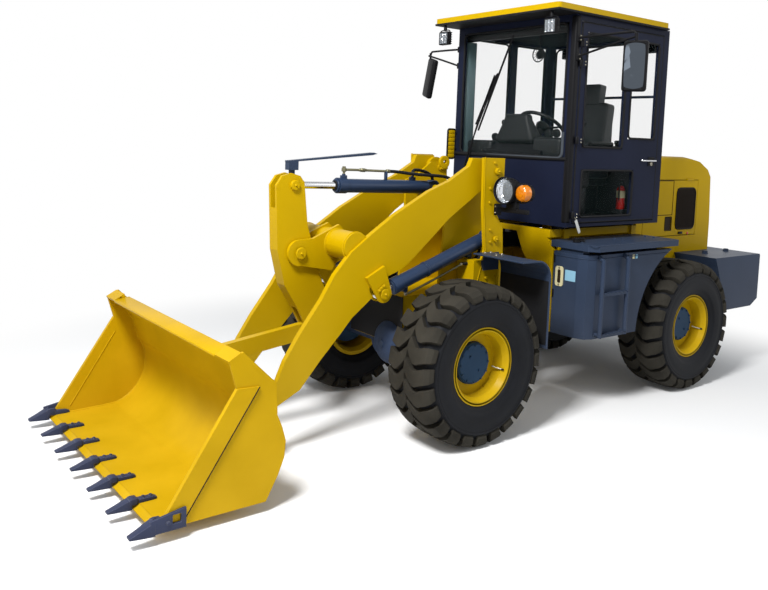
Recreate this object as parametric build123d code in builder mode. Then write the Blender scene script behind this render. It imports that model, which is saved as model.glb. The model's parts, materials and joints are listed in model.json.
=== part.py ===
"""A small articulated wheel loader, in millimetres.

+X is forward, +Y is left and +Z is up.  The origin is on the ground, under the
middle of the loader's overall length and width.  Sizes along the loader are
measured from the steering pin, which stands half way between the two axles.
"""
import os
from math import atan2, cos, degrees, hypot, pi, sin

from build123d import *

os.makedirs("parts", exist_ok=True)

# ---------------------------------------------------------------- whole loader
overall_length = 5835
rear_overhang = 1166.5          # rear axle to the back of the counterweight
wheelbase = 2357
running_fit = 0.5               # radial clearance of every pin in its bore
side_fit = 3                    # clearance beside a pivoting eye

hinge_x = -overall_length / 2 + rear_overhang + wheelbase / 2
front_axle_x = wheelbase / 2
rear_axle_x = -wheelbase / 2
rear_x = rear_axle_x - rear_overhang
tip_x = overall_length / 2 - hinge_x

# ---------------------------------------------------------------- wheels
tyre_radius = 530
tyre_width = 400
track = 1410
lug_height = 30
lug_count = 24
lug_width = 62
lug_sweep = 17                  # degrees a lug trails from crown to shoulder
rim_radius = 256
rim_width = 320
rim_wall = 12
rim_disc_offset = 42            # disc's outer face from the middle of the wheel
rim_disc_thickness = 14
hub_radius = 137
hub_face_offset = 78
hub_bore_radius = 60
axle_z = tyre_radius

# ---------------------------------------------------------------- pins, (x, z) from the steering pin
bucket_reach = 1030             # bucket pins to the tips of the teeth
boom_pin = (670, 1760)
lift_base_pin = (663, 1275)
tilt_base_pin = (930, 1622)
bucket_pin = (tip_x - bucket_reach, 282)
# points between the boom's two pins are drawn for this span, and move with the real one
boom_drawn_span = 1790
boom_stretch = (bucket_pin[0] - boom_pin[0]) / boom_drawn_span
lift_eye_pin = (boom_pin[0] + 936 * boom_stretch, 950)
crank_pin = (boom_pin[0] + 1420 * boom_stretch, 1210)
tilt_eye_pin = (crank_pin[0] + 35, crank_pin[1] + 435)
link_rear_pin = (crank_pin[0] - 150, crank_pin[1] - 522)
link_front_pin = (bucket_pin[0] + 160, bucket_pin[1] + 318)
pin_radius = 25
small_pin_radius = 20

# ---------------------------------------------------------------- front frame and boom, across the loader
boom_y = 310                    # middle of each boom arm
boom_plate = 40
boom_boss_width = 100
cheek_plate = 16
tower_plate = 20
tower_outer_y = 395
tower_inner_y = 225
tower_front_x = 800
tower_rear_x = 600
tower_top_z = 1855
cross_tube_radius = 95
cross_tube_at = (boom_pin[0] + 1138 * boom_stretch, 1262)
crank_width = 100
crank_slot = 56
ear_plate = 25
link_width = 50

# ---------------------------------------------------------------- cylinders
lift_barrel_radius = 50
lift_rod_radius = 25
lift_eye_radius = 52
lift_eye_width = 54
lift_barrel_end = 900 * boom_stretch    # barrel's front end from its base pin
tilt_barrel_radius = 47
tilt_rod_radius = 24
tilt_eye_radius = 45
tilt_eye_width = 50
tilt_barrel_end = 840 * boom_stretch
base_eye_width = 60

# ---------------------------------------------------------------- bucket
bucket_width = 1860
bucket_side = 16
side_cutter = 10
bucket_sheet = 14
lip_dip = 40
lip_horn = 170
tooth_count = 7
tooth_width = 64
corner_plate = 16

# ---------------------------------------------------------------- rear frame
rail_y = 380
rail_plate = 40
frame_bottom_z = 480
frame_top_z = 1052
bulkhead_x = 140
bulkhead_plate = 40
bulkhead_half = 500
bulkhead_top_z = 1328

# ---------------------------------------------------------------- tanks, platforms and ladders
tank_front_x = 140
tank_rear_x = rear_axle_x + 218.5
tank_inner_y = 512
tank_outer_y = 830
tank_bottom_z = 560
tank_top_z = 1178
tank_corner = 95
wheel_arch_radius = 705
platform_y = 880
platform_rear_x = rear_axle_x + 278.5     # flush with the tank where its top meets the arch
platform_bottom_z = 1208
platform_top_z = 1256
ladder_tube_radius = 16
ladder_front_x = 20
ladder_rear_x = -275
ladder_stand_off = 42
ladder_bottom_z = 575

# ---------------------------------------------------------------- cab
cab_half = 620
cab_front_x = 160
cab_rear_x = -985
cab_bottom_z = 1362
cab_top_z = 2908
cab_wall = 30
pillar = 70
sill_z = 1868
roof_front_x = 400
roof_rear_x = -925
roof_half = 656
roof_thickness = 48
roof_gap = 2
glass = 6
door_gap = 6
door_thickness = 34
door_rear_x = -915
door_front_x = 100
door_hinge_x = 112
door_hinge_y = 640
door_hinge_zs = (1450, 2000, cab_top_z - 348, cab_top_z - 208)
window_bottom_z = 1960
window_top_z = cab_top_z - 70
door_windows = [                # x from, x to, z from, z to
    (-450, door_front_x - 65, 1950, cab_top_z - 118),
    (-860, -510, 2030, cab_top_z - 118),
    (-610, door_front_x - 75, 1430, 1790),
]
window_post_x = -450            # post between the windows of the right side
mirror_bottom_z = cab_top_z - 548
mirror_height = 340
mirror_x = 105
mirror_y = 1085
mirror_clamp_zs = (cab_top_z - 173, cab_top_z - 308)
work_lamp_height = 110
work_lamp_bottom_z = cab_top_z - 163

# ---------------------------------------------------------------- hood and counterweight
hood_half = 400
hood_front_x = cab_rear_x - 25
hood_rear_x = rear_x + 205
hood_top_z = 1902
hood_wall = 12
hood_door_front_x = hood_front_x - 90
hood_door_rear_x = hood_rear_x + 225
hood_door_top_z = 1700
hood_door_bottom_z = 1200
counterweight_half = 800
counterweight_front_x = rear_axle_x - 426.5
counterweight_top_z = 1052
counterweight_bottom_z = 584
hood_bottom_z = counterweight_top_z + 0.3

# ---------------------------------------------------------------- fenders
fender_rear_x = front_axle_x - tyre_radius - 50.5
fender_front_x = fender_rear_x + 287
fender_top_z = 1188
fender_bottom_z = 575
fender_inner_y = 420
fender_outer_y = 885
fender_sheet = 8
fender_bend = 130


def side_plane(y):
    """The X-Z plane at y, with x measured from the steering pin."""
    return Plane(origin=(hinge_x, y, 0), x_dir=(1, 0, 0), z_dir=(0, -1, 0))


def side_solid(outline, y, width, mode=Mode.ADD):
    """Add a closed X-Z outline, width thick and centred on y."""
    with BuildSketch(side_plane(y)) as profile:
        with BuildLine():
            Polyline(*outline, close=True)
        make_face()
    extrude(profile.sketch, amount=width / 2, both=True, mode=mode)


def block(x_range, y_range, z_range, mode=Mode.ADD):
    """Add a box between the given limits, x measured from the steering pin."""
    lows = (min(x_range) + hinge_x, min(y_range), min(z_range))
    highs = (max(x_range) + hinge_x, max(y_range), max(z_range))
    with Locations(tuple((a + b) / 2 for a, b in zip(lows, highs))):
        Box(*[b - a for a, b in zip(lows, highs)], mode=mode)


def cross_pin(at, y_range, radius, mode=Mode.ADD):
    """Add a cylinder that lies across the loader at the pin position (x, z)."""
    low, high = min(y_range), max(y_range)
    with Locations((at[0] + hinge_x, (low + high) / 2, at[1])):
        Cylinder(radius, high - low, rotation=(90, 0, 0), mode=mode)


def rod(start, end, radius, mode=Mode.ADD):
    """Add a round bar between two points (x, y, z), x from the steering pin."""
    first = Vector(start[0] + hinge_x, start[1], start[2])
    last = Vector(end[0] + hinge_x, end[1], end[2])
    with BuildSketch(Plane(origin=first, z_dir=last - first)) as section:
        Circle(radius)
    extrude(section.sketch, amount=(last - first).length, mode=mode)


def along(start, end, distance):
    """The point (x, z) that lies distance from start towards end."""
    length = hypot(end[0] - start[0], end[1] - start[1])
    share = distance / length
    return (start[0] + (end[0] - start[0]) * share, start[1] + (end[1] - start[1]) * share)


def from_tip(*points):
    """Points (x, z) of the bucket, each given as (distance back from the teeth's tips, z)."""
    return [(tip_x - back, z) for back, z in points]


def around(pin, *offsets):
    """Points (x, z) at these offsets from a pin."""
    return [(pin[0] + dx, pin[1] + dz) for dx, dz in offsets]


def on_boom(*points):
    """Points (x, z) of the boom's outline, each given as (distance from the boom's rear pin, z)."""
    return [(boom_pin[0] + x * boom_stretch, z) for x, z in points]


def bar_outline(start, end, start_half, end_half):
    """A straight tapered bar from start to end, both (x, z)."""
    length = hypot(end[0] - start[0], end[1] - start[1])
    nx, nz = -(end[1] - start[1]) / length, (end[0] - start[0]) / length
    return [
        (start[0] + nx * start_half, start[1] + nz * start_half),
        (end[0] + nx * end_half, end[1] + nz * end_half),
        (end[0] - nx * end_half, end[1] - nz * end_half),
        (start[0] - nx * start_half, start[1] - nz * start_half),
    ]


def arc_points(centre, radius, start_angle, end_angle, count):
    """Points (x, z) along an arc, its angles in degrees from +X towards +Z."""
    steps = [start_angle + (end_angle - start_angle) * i / count for i in range(count + 1)]
    return [(centre[0] + radius * cos(a * pi / 180), centre[1] + radius * sin(a * pi / 180)) for a in steps]


def save(piece, name):
    """Label a finished piece and write it as its own file."""
    piece.label = name
    export_step(piece, f"parts/{name}.step")


# ================================================================ wheels
carcass_radius = tyre_radius - lug_height
bead_radius = rim_radius - 14
shoulder_half = tyre_width / 2 - 18
lug_chamfer = 22
crown_gap = 6
seat_half = rim_width / 2 - rim_wall - 0.3


def wheel_point(radius, y, turn):
    """A point at that radius round the Y axis, turned by an angle in degrees."""
    return (radius * cos(turn * pi / 180), y, -radius * sin(turn * pi / 180))


def band(first, second):
    """Triangles that join two rings of (radius, y, turn) round the Y axis, each in rising turn."""
    left = first + [(*first[0][:2], first[0][2] + 360)]
    right = second + [(*second[0][:2], second[0][2] + 360)]
    i = j = 0
    faces = []
    while i < len(first) or j < len(second):
        on_left = j == len(second) or (i < len(first) and left[i + 1][2] <= right[j + 1][2])
        tip = left[i + 1] if on_left else right[j + 1]
        faces.append([left[i], right[j], tip])
        i, j = (i + 1, j) if on_left else (i, j + 1)
    return faces


def make_tyre():
    """One tyre round the Y axis, at the origin, in flat faces, its lugs trailing towards both shoulders."""
    pitch = 360 / lug_count
    lug_turn = degrees(lug_width / carcass_radius)
    flats = cos(pi / lug_count)         # a flat's middle lies this much nearer the axle than its corners
    faces, crowns, beads = [], [], []
    for side in (1, -1):
        start = 0 if side > 0 else pitch / 2
        crown, bulge, flange, bead = [], [], [], []
        for index in range(lug_count):
            near = start + index * pitch
            far = near + lug_sweep
            y_in, y_out = side * crown_gap, side * (shoulder_half + 8)
            walls = []
            turns = (near, far), (near + 0.84 * lug_turn, far + lug_turn), (near + pitch, far + pitch)
            for near_turn, far_turn in turns:
                walls.append(
                    (
                        (carcass_radius, y_in, near_turn),
                        (tyre_radius, y_in, near_turn),
                        (tyre_radius, y_out - side * lug_chamfer, far_turn),
                        (tyre_radius - lug_chamfer, y_out, far_turn),
                        (carcass_radius, side * (shoulder_half - 30), far_turn),
                        (carcass_radius - 40, side * (shoulder_half + 10), far_turn),
                    )
                )
            (foot, top, edge, end, floor, heel), (foot2, top2, edge2, end2, floor2, heel2), after = walls
            for a in walls[:2]:
                faces += [[a[0], a[1], a[4]], [a[1], a[2], a[4]], [a[4], a[2], a[3]], [a[4], a[3], a[5]]]
            faces += [
                [foot2, floor2, after[4]], [foot2, after[4], after[0]],
                [top, edge, edge2], [top, edge2, top2],
                [edge, end, end2, edge2], [end, heel, heel2, end2],
                [foot, top, top2, foot2], [floor2, heel2, after[5], after[4]],
            ]
            crown += [foot, foot2]
            bulge.append((rim_radius + 125, side * tyre_width / 2, far))
            flange.append(((rim_radius + 1) / flats, side * seat_half, far))
            bead.append(((bead_radius + 0.3) / flats, side * seat_half, far))
            nxt = [(r, y, t + pitch) for r, y, t in (bulge[-1], flange[-1], bead[-1])]
            faces += [
                [heel, heel2, bulge[-1]], [heel2, nxt[0], bulge[-1]], [heel2, after[5], nxt[0]],
                [bulge[-1], nxt[0], nxt[1], flange[-1]], [flange[-1], nxt[1], nxt[2], bead[-1]],
            ]
        crowns.append(crown)
        beads.append(bead)
    faces += band(crowns[0], crowns[1]) + band(beads[0], beads[1])
    return Solid(Shell([Face(Wire.make_polygon([wheel_point(*p) for p in f], close=True)) for f in faces]))


def make_rim():
    """One rim with its flanges, barrel and dished disc, at the origin."""
    half = rim_width / 2
    with BuildPart() as rim:
        with BuildSketch(Plane.XY):
            with BuildLine():
                Polyline(
                    (rim_radius, -half),
                    (rim_radius, -half + rim_wall),
                    (bead_radius - 0.3, -half + rim_wall),
                    (bead_radius - 0.3, half - rim_wall),
                    (rim_radius, half - rim_wall),
                    (rim_radius, half),
                    (bead_radius - rim_wall, half),
                    (bead_radius - rim_wall - 22, half - 40),
                    (bead_radius - rim_wall - 22, rim_disc_offset),
                    (hub_radius + 4, rim_disc_offset),
                    (hub_radius + 4, rim_disc_offset - rim_disc_thickness),
                    (bead_radius - rim_wall - 22, rim_disc_offset - rim_disc_thickness),
                    (bead_radius - rim_wall - 22, -half + 40),
                    (bead_radius - rim_wall, -half),
                    close=True,
                )
            make_face()
        revolve(axis=Axis.Y)
    return rim.part


def make_hub():
    """One hub with its stepped cap and flange behind the rim's disc."""
    with BuildPart() as hub:
        with BuildSketch(Plane.XY):
            with BuildLine():
                Polyline(
                    (hub_bore_radius, -60),
                    (hub_radius + 34, -60),
                    (hub_radius + 34, rim_disc_offset - rim_disc_thickness),
                    (hub_radius + 4, rim_disc_offset - rim_disc_thickness),
                    (hub_radius + 4, rim_disc_offset),
                    (hub_radius, rim_disc_offset + 6),
                    (hub_radius, hub_face_offset - 12),
                    (hub_radius - 12, hub_face_offset),
                    (0, hub_face_offset),
                    (0, hub_face_offset - 40),
                    (hub_bore_radius, hub_face_offset - 40),
                    close=True,
                )
            make_face()
        revolve(axis=Axis.Y)
    return hub.part


tyre_shape, rim_shape, hub_shape = make_tyre(), make_rim(), make_hub()
wheel_stations = [
    ("front_left", front_axle_x, 1),
    ("front_right", front_axle_x, -1),
    ("rear_left", rear_axle_x, 1),
    ("rear_right", rear_axle_x, -1),
]
for place, axle_x, side in wheel_stations:
    for name, shape in (("tyre", tyre_shape), ("rim", rim_shape), ("hub", hub_shape)):
        facing = shape if side > 0 else mirror(shape, about=Plane.XZ)
        save(Pos(hinge_x + axle_x, side * track / 2, axle_z) * facing, f"{name}_{place}")


# ================================================================ axles
def make_axle(axle_x, housing_side, pad_y, top_z):
    """An axle beam with stub shafts in the hubs, a drive housing and a pad on top."""
    stub_end = track / 2 + hub_face_offset - 45
    with BuildPart() as axle:
        for side in (-1, 1):
            cross_pin((axle_x, axle_z), (0, side * stub_end), hub_bore_radius - running_fit)
            cross_pin((axle_x, axle_z), (side * 150, side * (track / 2 - 70)), 82)
        cross_pin((axle_x, axle_z), (-120, 120), 165)
        rod((axle_x, 0, axle_z), (axle_x + housing_side * 240, 0, axle_z), 75)
        for side in (-1, 1):
            block((axle_x - 90, axle_x + 90), (side * (pad_y - 50), side * (pad_y + 50)), (axle_z, top_z))
    return axle.part


axle_seat_z = axle_z + 130
front_rail_y = 260
save(make_axle(front_axle_x, -1, front_rail_y, axle_seat_z), "front_axle")
save(make_axle(rear_axle_x, 1, rail_y, axle_seat_z), "rear_axle")

# ================================================================ steering joint
joint_bosses = [(515, 585), (815, 885)]     # heights of the front frame's two hinge lugs
joint_radius = 92
joint_plate = 38
joint_pin_radius = 30

# ================================================================ front frame
neck_half = 115
neck_end_x = 400                # clears the bulkhead at full steering lock
nose_x = front_axle_x + 221.5   # front of the rails, past the axle's housing
with BuildPart() as front_frame:
    for low, high in joint_bosses:
        with Locations((hinge_x, 0, (low + high) / 2)):
            Cylinder(joint_radius, high - low)
        block((0, neck_end_x + 60), (-neck_half + 25, neck_half - 25), (low, high))
        with Locations((hinge_x, 0, (low + high) / 2)):
            Cylinder(joint_pin_radius + running_fit, high - low, mode=Mode.SUBTRACT)
    block((neck_end_x, neck_end_x + 40), (-front_rail_y, front_rail_y), (frame_bottom_z, 930))
    for side in (-1, 1):
        block(
            (neck_end_x, nose_x), (side * (front_rail_y - 20), side * (front_rail_y + 20)),
            (axle_seat_z, 900),
        )
        side_solid(
            [
                (neck_end_x, 470), (900, 470), (960, axle_seat_z + 60), (neck_end_x, axle_seat_z + 60),
            ],
            side * front_rail_y, 40,
        )
        # inner tower plate, with the nose that carries the tilt cylinder's pin
        side_solid(
            [
                (560, 850), (1040, 850), (1000, 1300), (1000, tilt_base_pin[1] + 45),
                (900, tilt_base_pin[1] + 75), (760, 1800), (tower_rear_x, 1800),
            ],
            side * tower_inner_y, tower_plate,
        )
        # outer tower plate
        side_solid(
            [
                (tower_rear_x - 40, 880), (tower_front_x + 60, 880), (tower_front_x - 35, 1200),
                (tower_front_x, 1500), (tower_front_x + 10, tower_top_z), (tower_rear_x, tower_top_z),
                (tower_rear_x, 1555), (tower_rear_x + 70, 1470), (tower_rear_x - 10, 1350),
                (tower_rear_x - 20, 1200),
            ],
            side * tower_outer_y, tower_plate,
        )
        block(
            (560, 860),
            (side * (tower_inner_y - tower_plate / 2), side * (tower_outer_y + tower_plate / 2)),
            (850, 1130),
        )
        pin_span = (side * (tower_inner_y - 20), side * (tower_outer_y + 20))
        cross_pin(boom_pin, pin_span, pin_radius)
        cross_pin(lift_base_pin, pin_span, small_pin_radius)
    block((neck_end_x, nose_x), (-front_rail_y, front_rail_y), (860, 900))
    block((nose_x - 40, nose_x), (-front_rail_y, front_rail_y), (560, 900))
    cross_pin(tilt_base_pin, (-tower_inner_y, tower_inner_y), small_pin_radius)
    block((560, 600), (-tower_inner_y, tower_inner_y), (860, 1500))
save(front_frame.part, "front_frame")


def make_fender(side):
    """A bent sheet guard behind one front tyre, with its hanger to the tower."""
    bend = (fender_rear_x + fender_bend, fender_top_z - fender_bend)
    outer = (
        [(fender_front_x, fender_top_z)]
        + arc_points(bend, fender_bend, 90, 180, 6)
        + [(fender_rear_x, fender_bottom_z)]
    )
    inner = (
        [(fender_rear_x + fender_sheet, fender_bottom_z)]
        + arc_points(bend, fender_bend - fender_sheet, 180, 90, 6)
        + [(fender_front_x, fender_top_z - fender_sheet)]
    )
    middle = side * (fender_inner_y + fender_outer_y) / 2
    hanger_gap = tower_outer_y + tower_plate / 2
    with BuildPart() as fender:
        side_solid(outer + inner, middle, fender_outer_y - fender_inner_y)
        for x in (640, 760):
            block((x, x + 30), (side * hanger_gap, side * (fender_inner_y + 10)), (1080, 1130))
        block(
            (640, 790),
            (side * (fender_inner_y + 2), side * (fender_inner_y + 10)),
            (1060, fender_top_z - fender_sheet / 2),
        )
    return fender.part


def make_headlamp(side):
    """A lamp box with a round headlamp and a turn lamp, on an arm behind the tower."""
    arm_y = side * (tower_outer_y + tower_plate / 2)
    with BuildPart() as lamp:
        block((640, 670), (arm_y, side * 700), (1475, 1510))
        block((640, 690), (arm_y, arm_y + side * 30), (1450, 1530))
        with Locations((hinge_x + 655, side * 520, 1632)):
            Cylinder(85, 130, rotation=(0, 90, 0))
        with Locations((hinge_x + 650, side * 650, 1620)):
            Cylinder(62, 100, rotation=(0, 90, 0))
        block((620, 690), (side * 500, side * 670), (1505, 1570))
    return lamp.part


for name, side in (("left", 1), ("right", -1)):
    save(make_fender(side), f"front_fender_{name}")
    save(make_headlamp(side), f"headlamp_{name}")

# ================================================================ boom
boom_upper = [(tower_front_x + 45, tower_top_z - 5)] + on_boom(
    (200, 1793), (383, 1688), (560, 1620), (854, 1465), (1052, 1335), (1189, 1238), (1313, 1100),
    (1405, 950), (1557, 747), (1657, 593),
)
boom_lower = on_boom(
    (1546, 401), (1406, 563), (1246, 729), (1172, 811), (1072, 886), (916, 1006), (711, 1144),
    (542, 1285), (367, 1431), (53, 1637),
)
boom_boss_radius = 78
boom_tip_radius = 75
boom_outline = (
    [(boom_pin[0], tower_top_z - 5)]
    + boom_upper
    + [bucket_pin]
    + boom_lower
    + [(boom_pin[0] - 30, boom_pin[1] - 60)]
)
ear_inner = crank_width / 2 + side_fit
ear_outline = around(
    crank_pin, (-5, 85), (-100, 90), (-300, 175), (-350, 130), (-330, -10), (-250, -130), (-20, -85)
)
# the ends of the lift eye's travel between its cheeks
eye_slot_low = (lift_eye_pin[0] - 30, lift_eye_pin[1] - 50)
eye_slot_high = (lift_eye_pin[0] + 44, lift_eye_pin[1] + 38)
with BuildPart() as boom:
    for side in (-1, 1):
        y = side * boom_y
        side_solid(boom_outline, y, boom_plate)
        cross_pin(bucket_pin, (y - boom_plate / 2, y + boom_plate / 2), boom_tip_radius)
        half_boss = boom_boss_width / 2
        cross_pin(boom_pin, (y - half_boss, y + half_boss), boom_boss_radius)
        # bracket under the arm, slotted for the lift cylinder's eye
        bracket_top = (lift_eye_pin[0] + 75, lift_eye_pin[1] + 150)
        eye_slot = lift_eye_width / 2 + 1
        bracket_half = eye_slot + cheek_plate
        side_solid(bar_outline(lift_eye_pin, bracket_top, 60, 80), y, 2 * bracket_half)
        cross_pin(lift_eye_pin, (y - bracket_half, y + bracket_half), 60)
        for end in (eye_slot_low, eye_slot_high):
            cross_pin(end, (y - eye_slot, y + eye_slot), lift_eye_radius + 8, Mode.SUBTRACT)
        side_solid(
            bar_outline(eye_slot_low, eye_slot_high, lift_eye_radius + 8, lift_eye_radius + 8),
            y, 2 * eye_slot, Mode.SUBTRACT,
        )
        side_solid(
            bar_outline(lift_eye_pin, along(lift_eye_pin, lift_base_pin, 240), 90, 90),
            y, 2 * eye_slot, Mode.SUBTRACT,
        )
        # the pin's two ends, each welded in its cheek
        for cheek in (-1, 1):
            cross_pin(
                lift_eye_pin, (y + cheek * eye_slot, y + cheek * (bracket_half + 8)), pin_radius
            )
        cross_pin(boom_pin, (y - half_boss, y + half_boss), pin_radius + running_fit, Mode.SUBTRACT)
        tip_half = boom_plate / 2 + 1
        cross_pin(bucket_pin, (y - tip_half, y + tip_half), pin_radius + running_fit, Mode.SUBTRACT)
    cross_pin(cross_tube_at, (-boom_y, boom_y), cross_tube_radius)
    for side in (-1, 1):
        ear_y = side * (ear_inner + ear_plate / 2)
        side_solid(ear_outline, ear_y, ear_plate)
        cross_pin(crank_pin, (side * ear_inner, side * (ear_inner + ear_plate)), 85)
    ear_span = ear_inner + ear_plate + 1
    cross_pin(crank_pin, (-ear_span, ear_span), pin_radius + running_fit, Mode.SUBTRACT)
save(boom.part, "boom")

with BuildPart() as bell_crank_pin:
    cross_pin(crank_pin, (-ear_span - 14, ear_span + 14), pin_radius)
save(bell_crank_pin.part, "bell_crank_pin")

with BuildPart() as bucket_pins:
    for side in (-1, 1):
        cross_pin(bucket_pin, (side * (boom_y - 66), side * (boom_y + 66)), pin_radius)
save(bucket_pins.part, "bucket_pins")

# ================================================================ bell crank
crank_outline = around(
    crank_pin, (167, 435), (148, 22), (90, -208), (-20, -382), (-92, -520), (-115, -570),
    (-175, -585), (-210, -545), (-213, -450), (-233, -281), (-174, -162), (-104, 74), (-70, 174),
    (-38, 454), (-5, 495), (60, 512), (125, 495),
)
with BuildPart() as bell_crank:
    side_solid(crank_outline, 0, crank_width)
    cross_pin(tilt_eye_pin, (-crank_slot / 2, crank_slot / 2), 190, Mode.SUBTRACT)
    cross_pin(link_rear_pin, (-link_width / 2 - 4, link_width / 2 + 4), 210, Mode.SUBTRACT)
    cross_pin(crank_pin, (-crank_width, crank_width), pin_radius + running_fit, Mode.SUBTRACT)
    # pin ends, each welded in its cheek
    for side in (-1, 1):
        cheek_face = side * crank_width / 2
        for at in (tilt_eye_pin, link_rear_pin):
            cross_pin(at, (cheek_face, cheek_face + side * 10), pin_radius + 8)
save(bell_crank.part, "bell_crank")

# ================================================================ bucket link
link_half = 54
with BuildPart() as bucket_link:
    side_solid(bar_outline(link_rear_pin, link_front_pin, link_half, link_half), 0, link_width)
    for at in (link_rear_pin, link_front_pin):
        cross_pin(at, (-link_width / 2, link_width / 2), link_half + 6)
    for at in (link_rear_pin, link_front_pin):
        cross_pin(at, (-link_width, link_width), pin_radius + running_fit, Mode.SUBTRACT)
save(bucket_link.part, "bucket_link")

link_ear_inner = link_width / 2 + side_fit
link_ear_span = link_ear_inner + ear_plate
with BuildPart() as bucket_link_pin:
    cross_pin(link_front_pin, (-link_ear_span - 14, link_ear_span + 14), pin_radius)
save(bucket_link_pin.part, "bucket_link_pin")


# ================================================================ cylinders
def make_barrel(base, eye, base_y, barrel_radius, length, rod_radius, eye_width):
    """A cylinder barrel with its base eye and gland, bored for its rod."""
    nose = along(base, eye, length)
    tail = along(base, eye, 60)
    with BuildPart() as barrel:
        rod((tail[0], base_y, tail[1]), (nose[0], base_y, nose[1]), barrel_radius)
        gland = along(base, eye, length - 70)
        rod((gland[0], base_y, gland[1]), (nose[0], base_y, nose[1]), barrel_radius + 6)
        side_solid(bar_outline(base, along(base, eye, 80), 40, 40), base_y, eye_width)
        cross_pin(base, (base_y - eye_width / 2, base_y + eye_width / 2), 52)
        bore_start = along(base, eye, 110)
        past = along(base, eye, length + 5)
        rod(
            (bore_start[0], base_y, bore_start[1]), (past[0], base_y, past[1]),
            rod_radius + running_fit, Mode.SUBTRACT,
        )
        cross_pin(
            base, (base_y - eye_width, base_y + eye_width), small_pin_radius + running_fit,
            Mode.SUBTRACT,
        )
    return barrel.part


def make_rod(base, eye, at_y, rod_radius, tail, eye_radius, eye_width):
    """A cylinder rod that reaches tail from its base pin into the barrel, with its eye."""
    start = along(base, eye, tail)
    length = hypot(eye[0] - base[0], eye[1] - base[1])
    neck = along(base, eye, length - eye_radius * 0.7)
    with BuildPart() as piston_rod:
        rod((start[0], at_y, start[1]), (neck[0], at_y, neck[1]), rod_radius)
        cross_pin(eye, (at_y - eye_width / 2, at_y + eye_width / 2), eye_radius)
        cross_pin(
            eye, (at_y - eye_width, at_y + eye_width), small_pin_radius + running_fit,
            Mode.SUBTRACT,
        )
    return piston_rod.part


lift_rod_tail = 130
tilt_rod_tail = 260
for name, side in (("left", 1), ("right", -1)):
    y = side * boom_y
    save(
        make_barrel(
            lift_base_pin, lift_eye_pin, y, lift_barrel_radius, lift_barrel_end, lift_rod_radius,
            base_eye_width,
        ),
        f"lift_barrel_{name}",
    )
    save(
        make_rod(
            lift_base_pin, lift_eye_pin, y, lift_rod_radius, lift_rod_tail, lift_eye_radius,
            lift_eye_width,
        ),
        f"lift_rod_{name}",
    )
save(
    make_barrel(
        tilt_base_pin, tilt_eye_pin, 0, tilt_barrel_radius, tilt_barrel_end, tilt_rod_radius,
        base_eye_width,
    ),
    "tilt_barrel",
)
save(
    make_rod(
        tilt_base_pin, tilt_eye_pin, 0, tilt_rod_radius, tilt_rod_tail, tilt_eye_radius,
        tilt_eye_width,
    ),
    "tilt_rod",
)
level_bar_half = crank_slot / 2 - side_fit       # passes between the bell crank's cheeks
with BuildPart() as level_bar:
    post_x = tilt_eye_pin[0] - 5
    block(
        (post_x - 15, post_x + 15), (-14, 14),
        (tilt_eye_pin[1] + tilt_eye_radius + 0.3, tilt_eye_pin[1] + 125),
    )
    block(
        (post_x - 35, post_x + 35), (-level_bar_half, level_bar_half),
        (tilt_eye_pin[1] + 95, tilt_eye_pin[1] + 152),
    )
    side_solid(
        around(tilt_eye_pin, (32, 145), (-625, 201), (-670, 211), (-639, 219), (32, 155)),
        0, 2 * level_bar_half,
    )
save(level_bar.part, "level_bar")

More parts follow.
